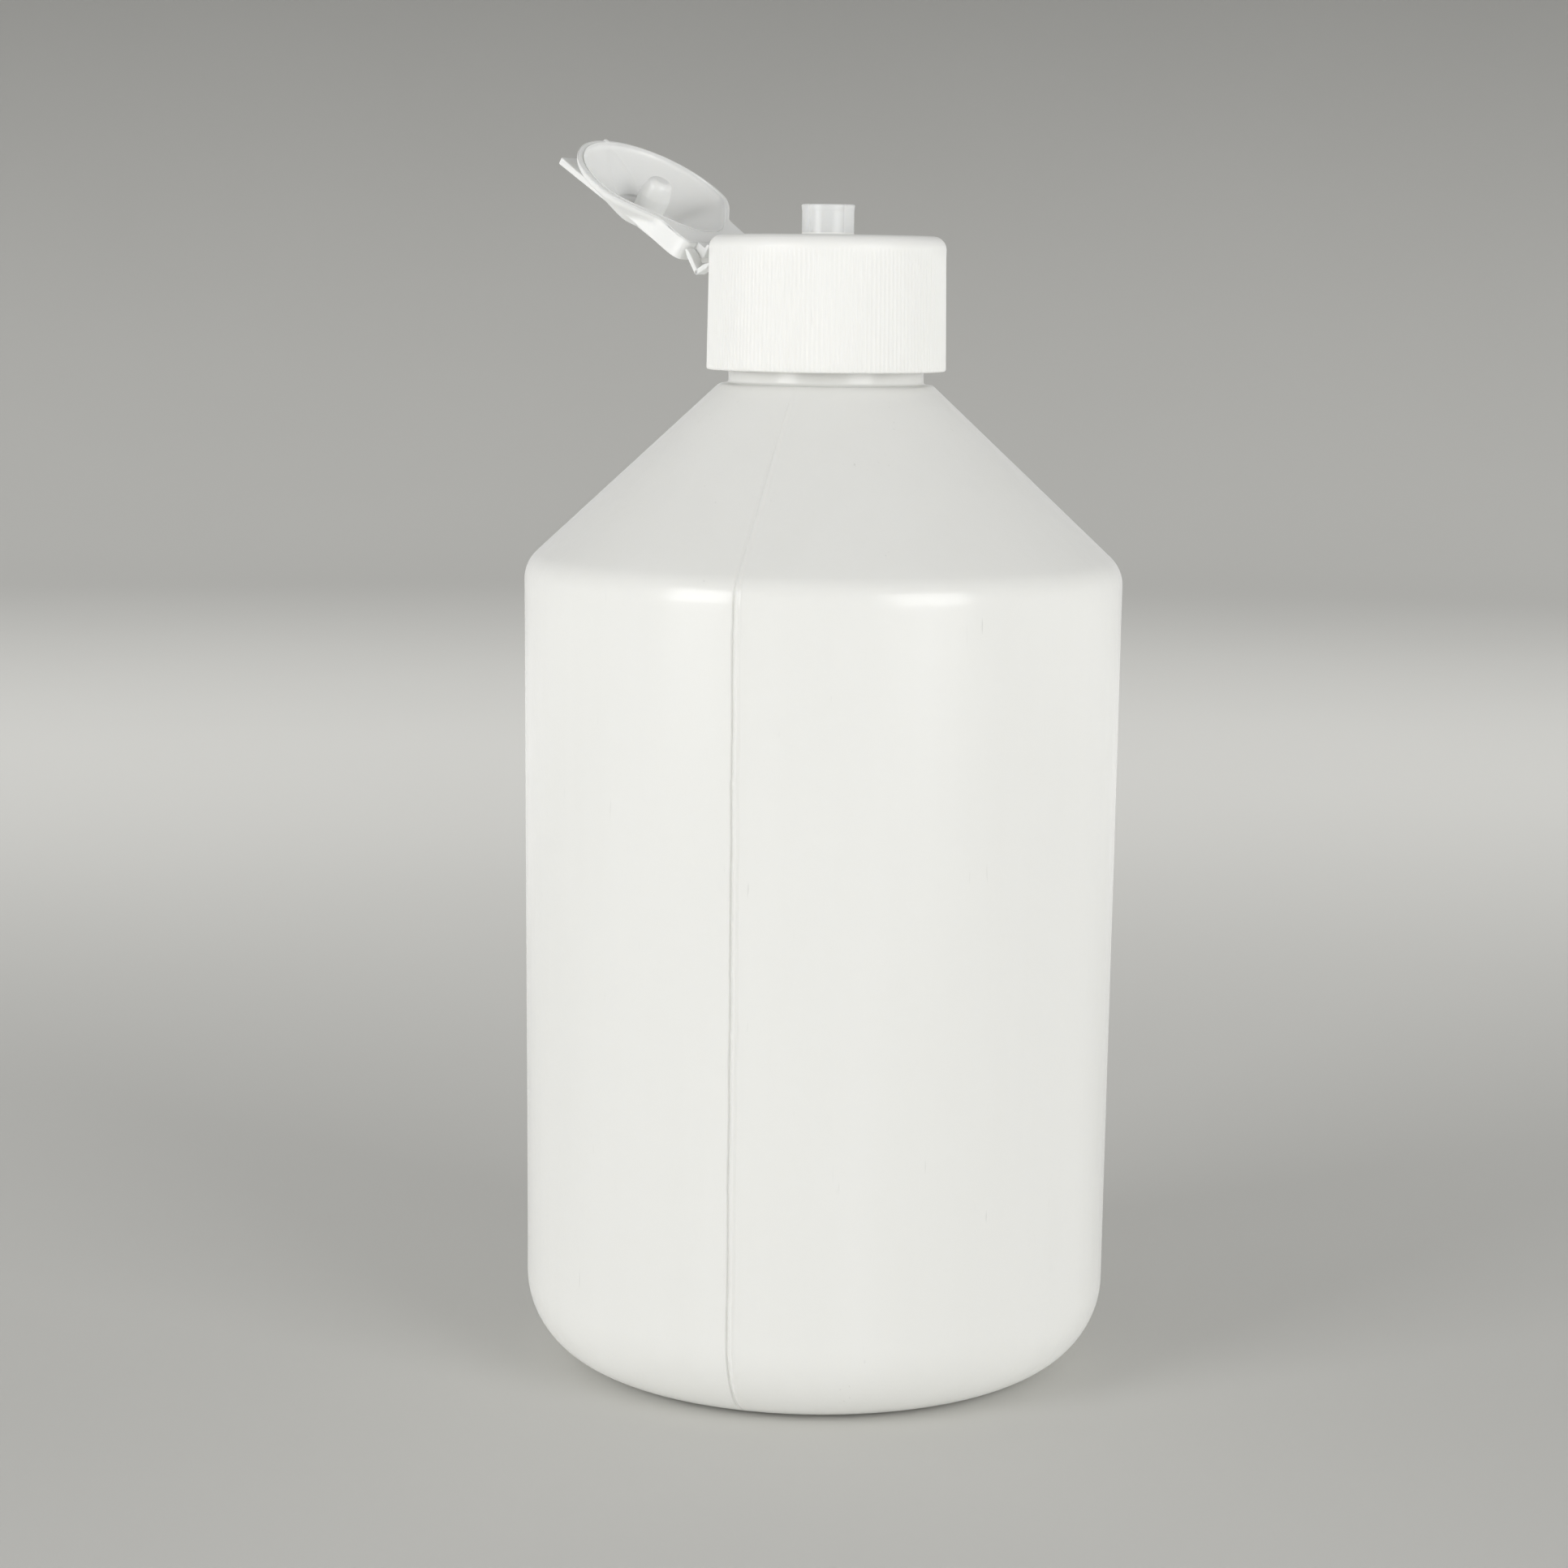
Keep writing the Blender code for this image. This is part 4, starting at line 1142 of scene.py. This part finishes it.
def studio_air():
    """Light from all round, weaker from above."""
    world = bpy.data.worlds.new("studio_air")
    bpy.context.scene.world = world
    world.use_nodes = True
    tree = world.node_tree
    place = tree.nodes.new("ShaderNodeTexCoord")
    split = tree.nodes.new("ShaderNodeSeparateXYZ")
    wire(tree, place.outputs["Generated"], split.inputs["Vector"])
    height = ramped(tree, split.outputs["Z"], 0.05, 0.9)
    colour = mixed_colour(tree, height, (1.0, 0.998, 0.985), (0.42, 0.42, 0.415))
    air = tree.nodes["Background"]
    wire(tree, colour, air.inputs["Color"])
    air.inputs["Strength"].default_value = 0.63


def studio_light():
    softbox("key_left", azimuth=-48.0, elevation=15.0, distance=1.0,
            size=(0.42, 0.60), power=3.8)
    softbox("key_right", azimuth=40.0, elevation=15.0, distance=1.0,
            size=(0.52, 0.60), power=3.8)
    softbox("side_left", azimuth=-100.0, elevation=0.0, distance=1.2,
            size=(1.0, 0.5), power=4.3, mirrored=False)
    softbox("side_right", azimuth=100.0, elevation=0.0, distance=1.2,
            size=(1.0, 0.5), power=4.0, mirrored=False)
    backdrop_light()
    studio_air()


def camera():
    forward = Vector((0.0, math.cos(CAMERA_PITCH), -math.sin(CAMERA_PITCH)))
    level_up = Vector((0.0, math.sin(CAMERA_PITCH), math.cos(CAMERA_PITCH)))
    level_right = Vector((1.0, 0.0, 0.0))
    right = level_right * math.cos(CAMERA_ROLL) + level_up * math.sin(CAMERA_ROLL)
    up = level_up * math.cos(CAMERA_ROLL) - level_right * math.sin(CAMERA_ROLL)
    data = bpy.data.cameras.new("camera")
    data.lens = LENS
    data.sensor_width = SENSOR_WIDTH
    data.clip_start, data.clip_end = 0.01, 20.0
    obj = bpy.data.objects.new("camera", data)
    bpy.context.scene.collection.objects.link(obj)
    aim = Vector((0.0, 0.0, CAMERA_AIM_HEIGHT))
    place = aim - forward * CAMERA_DISTANCE - right * CAMERA_OFFSET
    axes = Matrix((right, up, -forward)).transposed().to_4x4()
    obj.matrix_world = Matrix.Translation(place) @ axes
    bpy.context.scene.camera = obj


# ---------------------------------------------------------------- the whole object

bottle_shell()
base_weld()
neck_thread()
cap_shell()
cap_thread()
hinge_lug()
lid_shell()
lid_tongue()
lid_knuckle()
plug_pin()
rim_nub()
hinge_web()
spring_straps()
frame["nodes"]["gasket"].material_slots[0].material = gasket_foam

studio_room()
studio_light()
camera()
bpy.context.scene.view_settings.view_transform = "Standard"
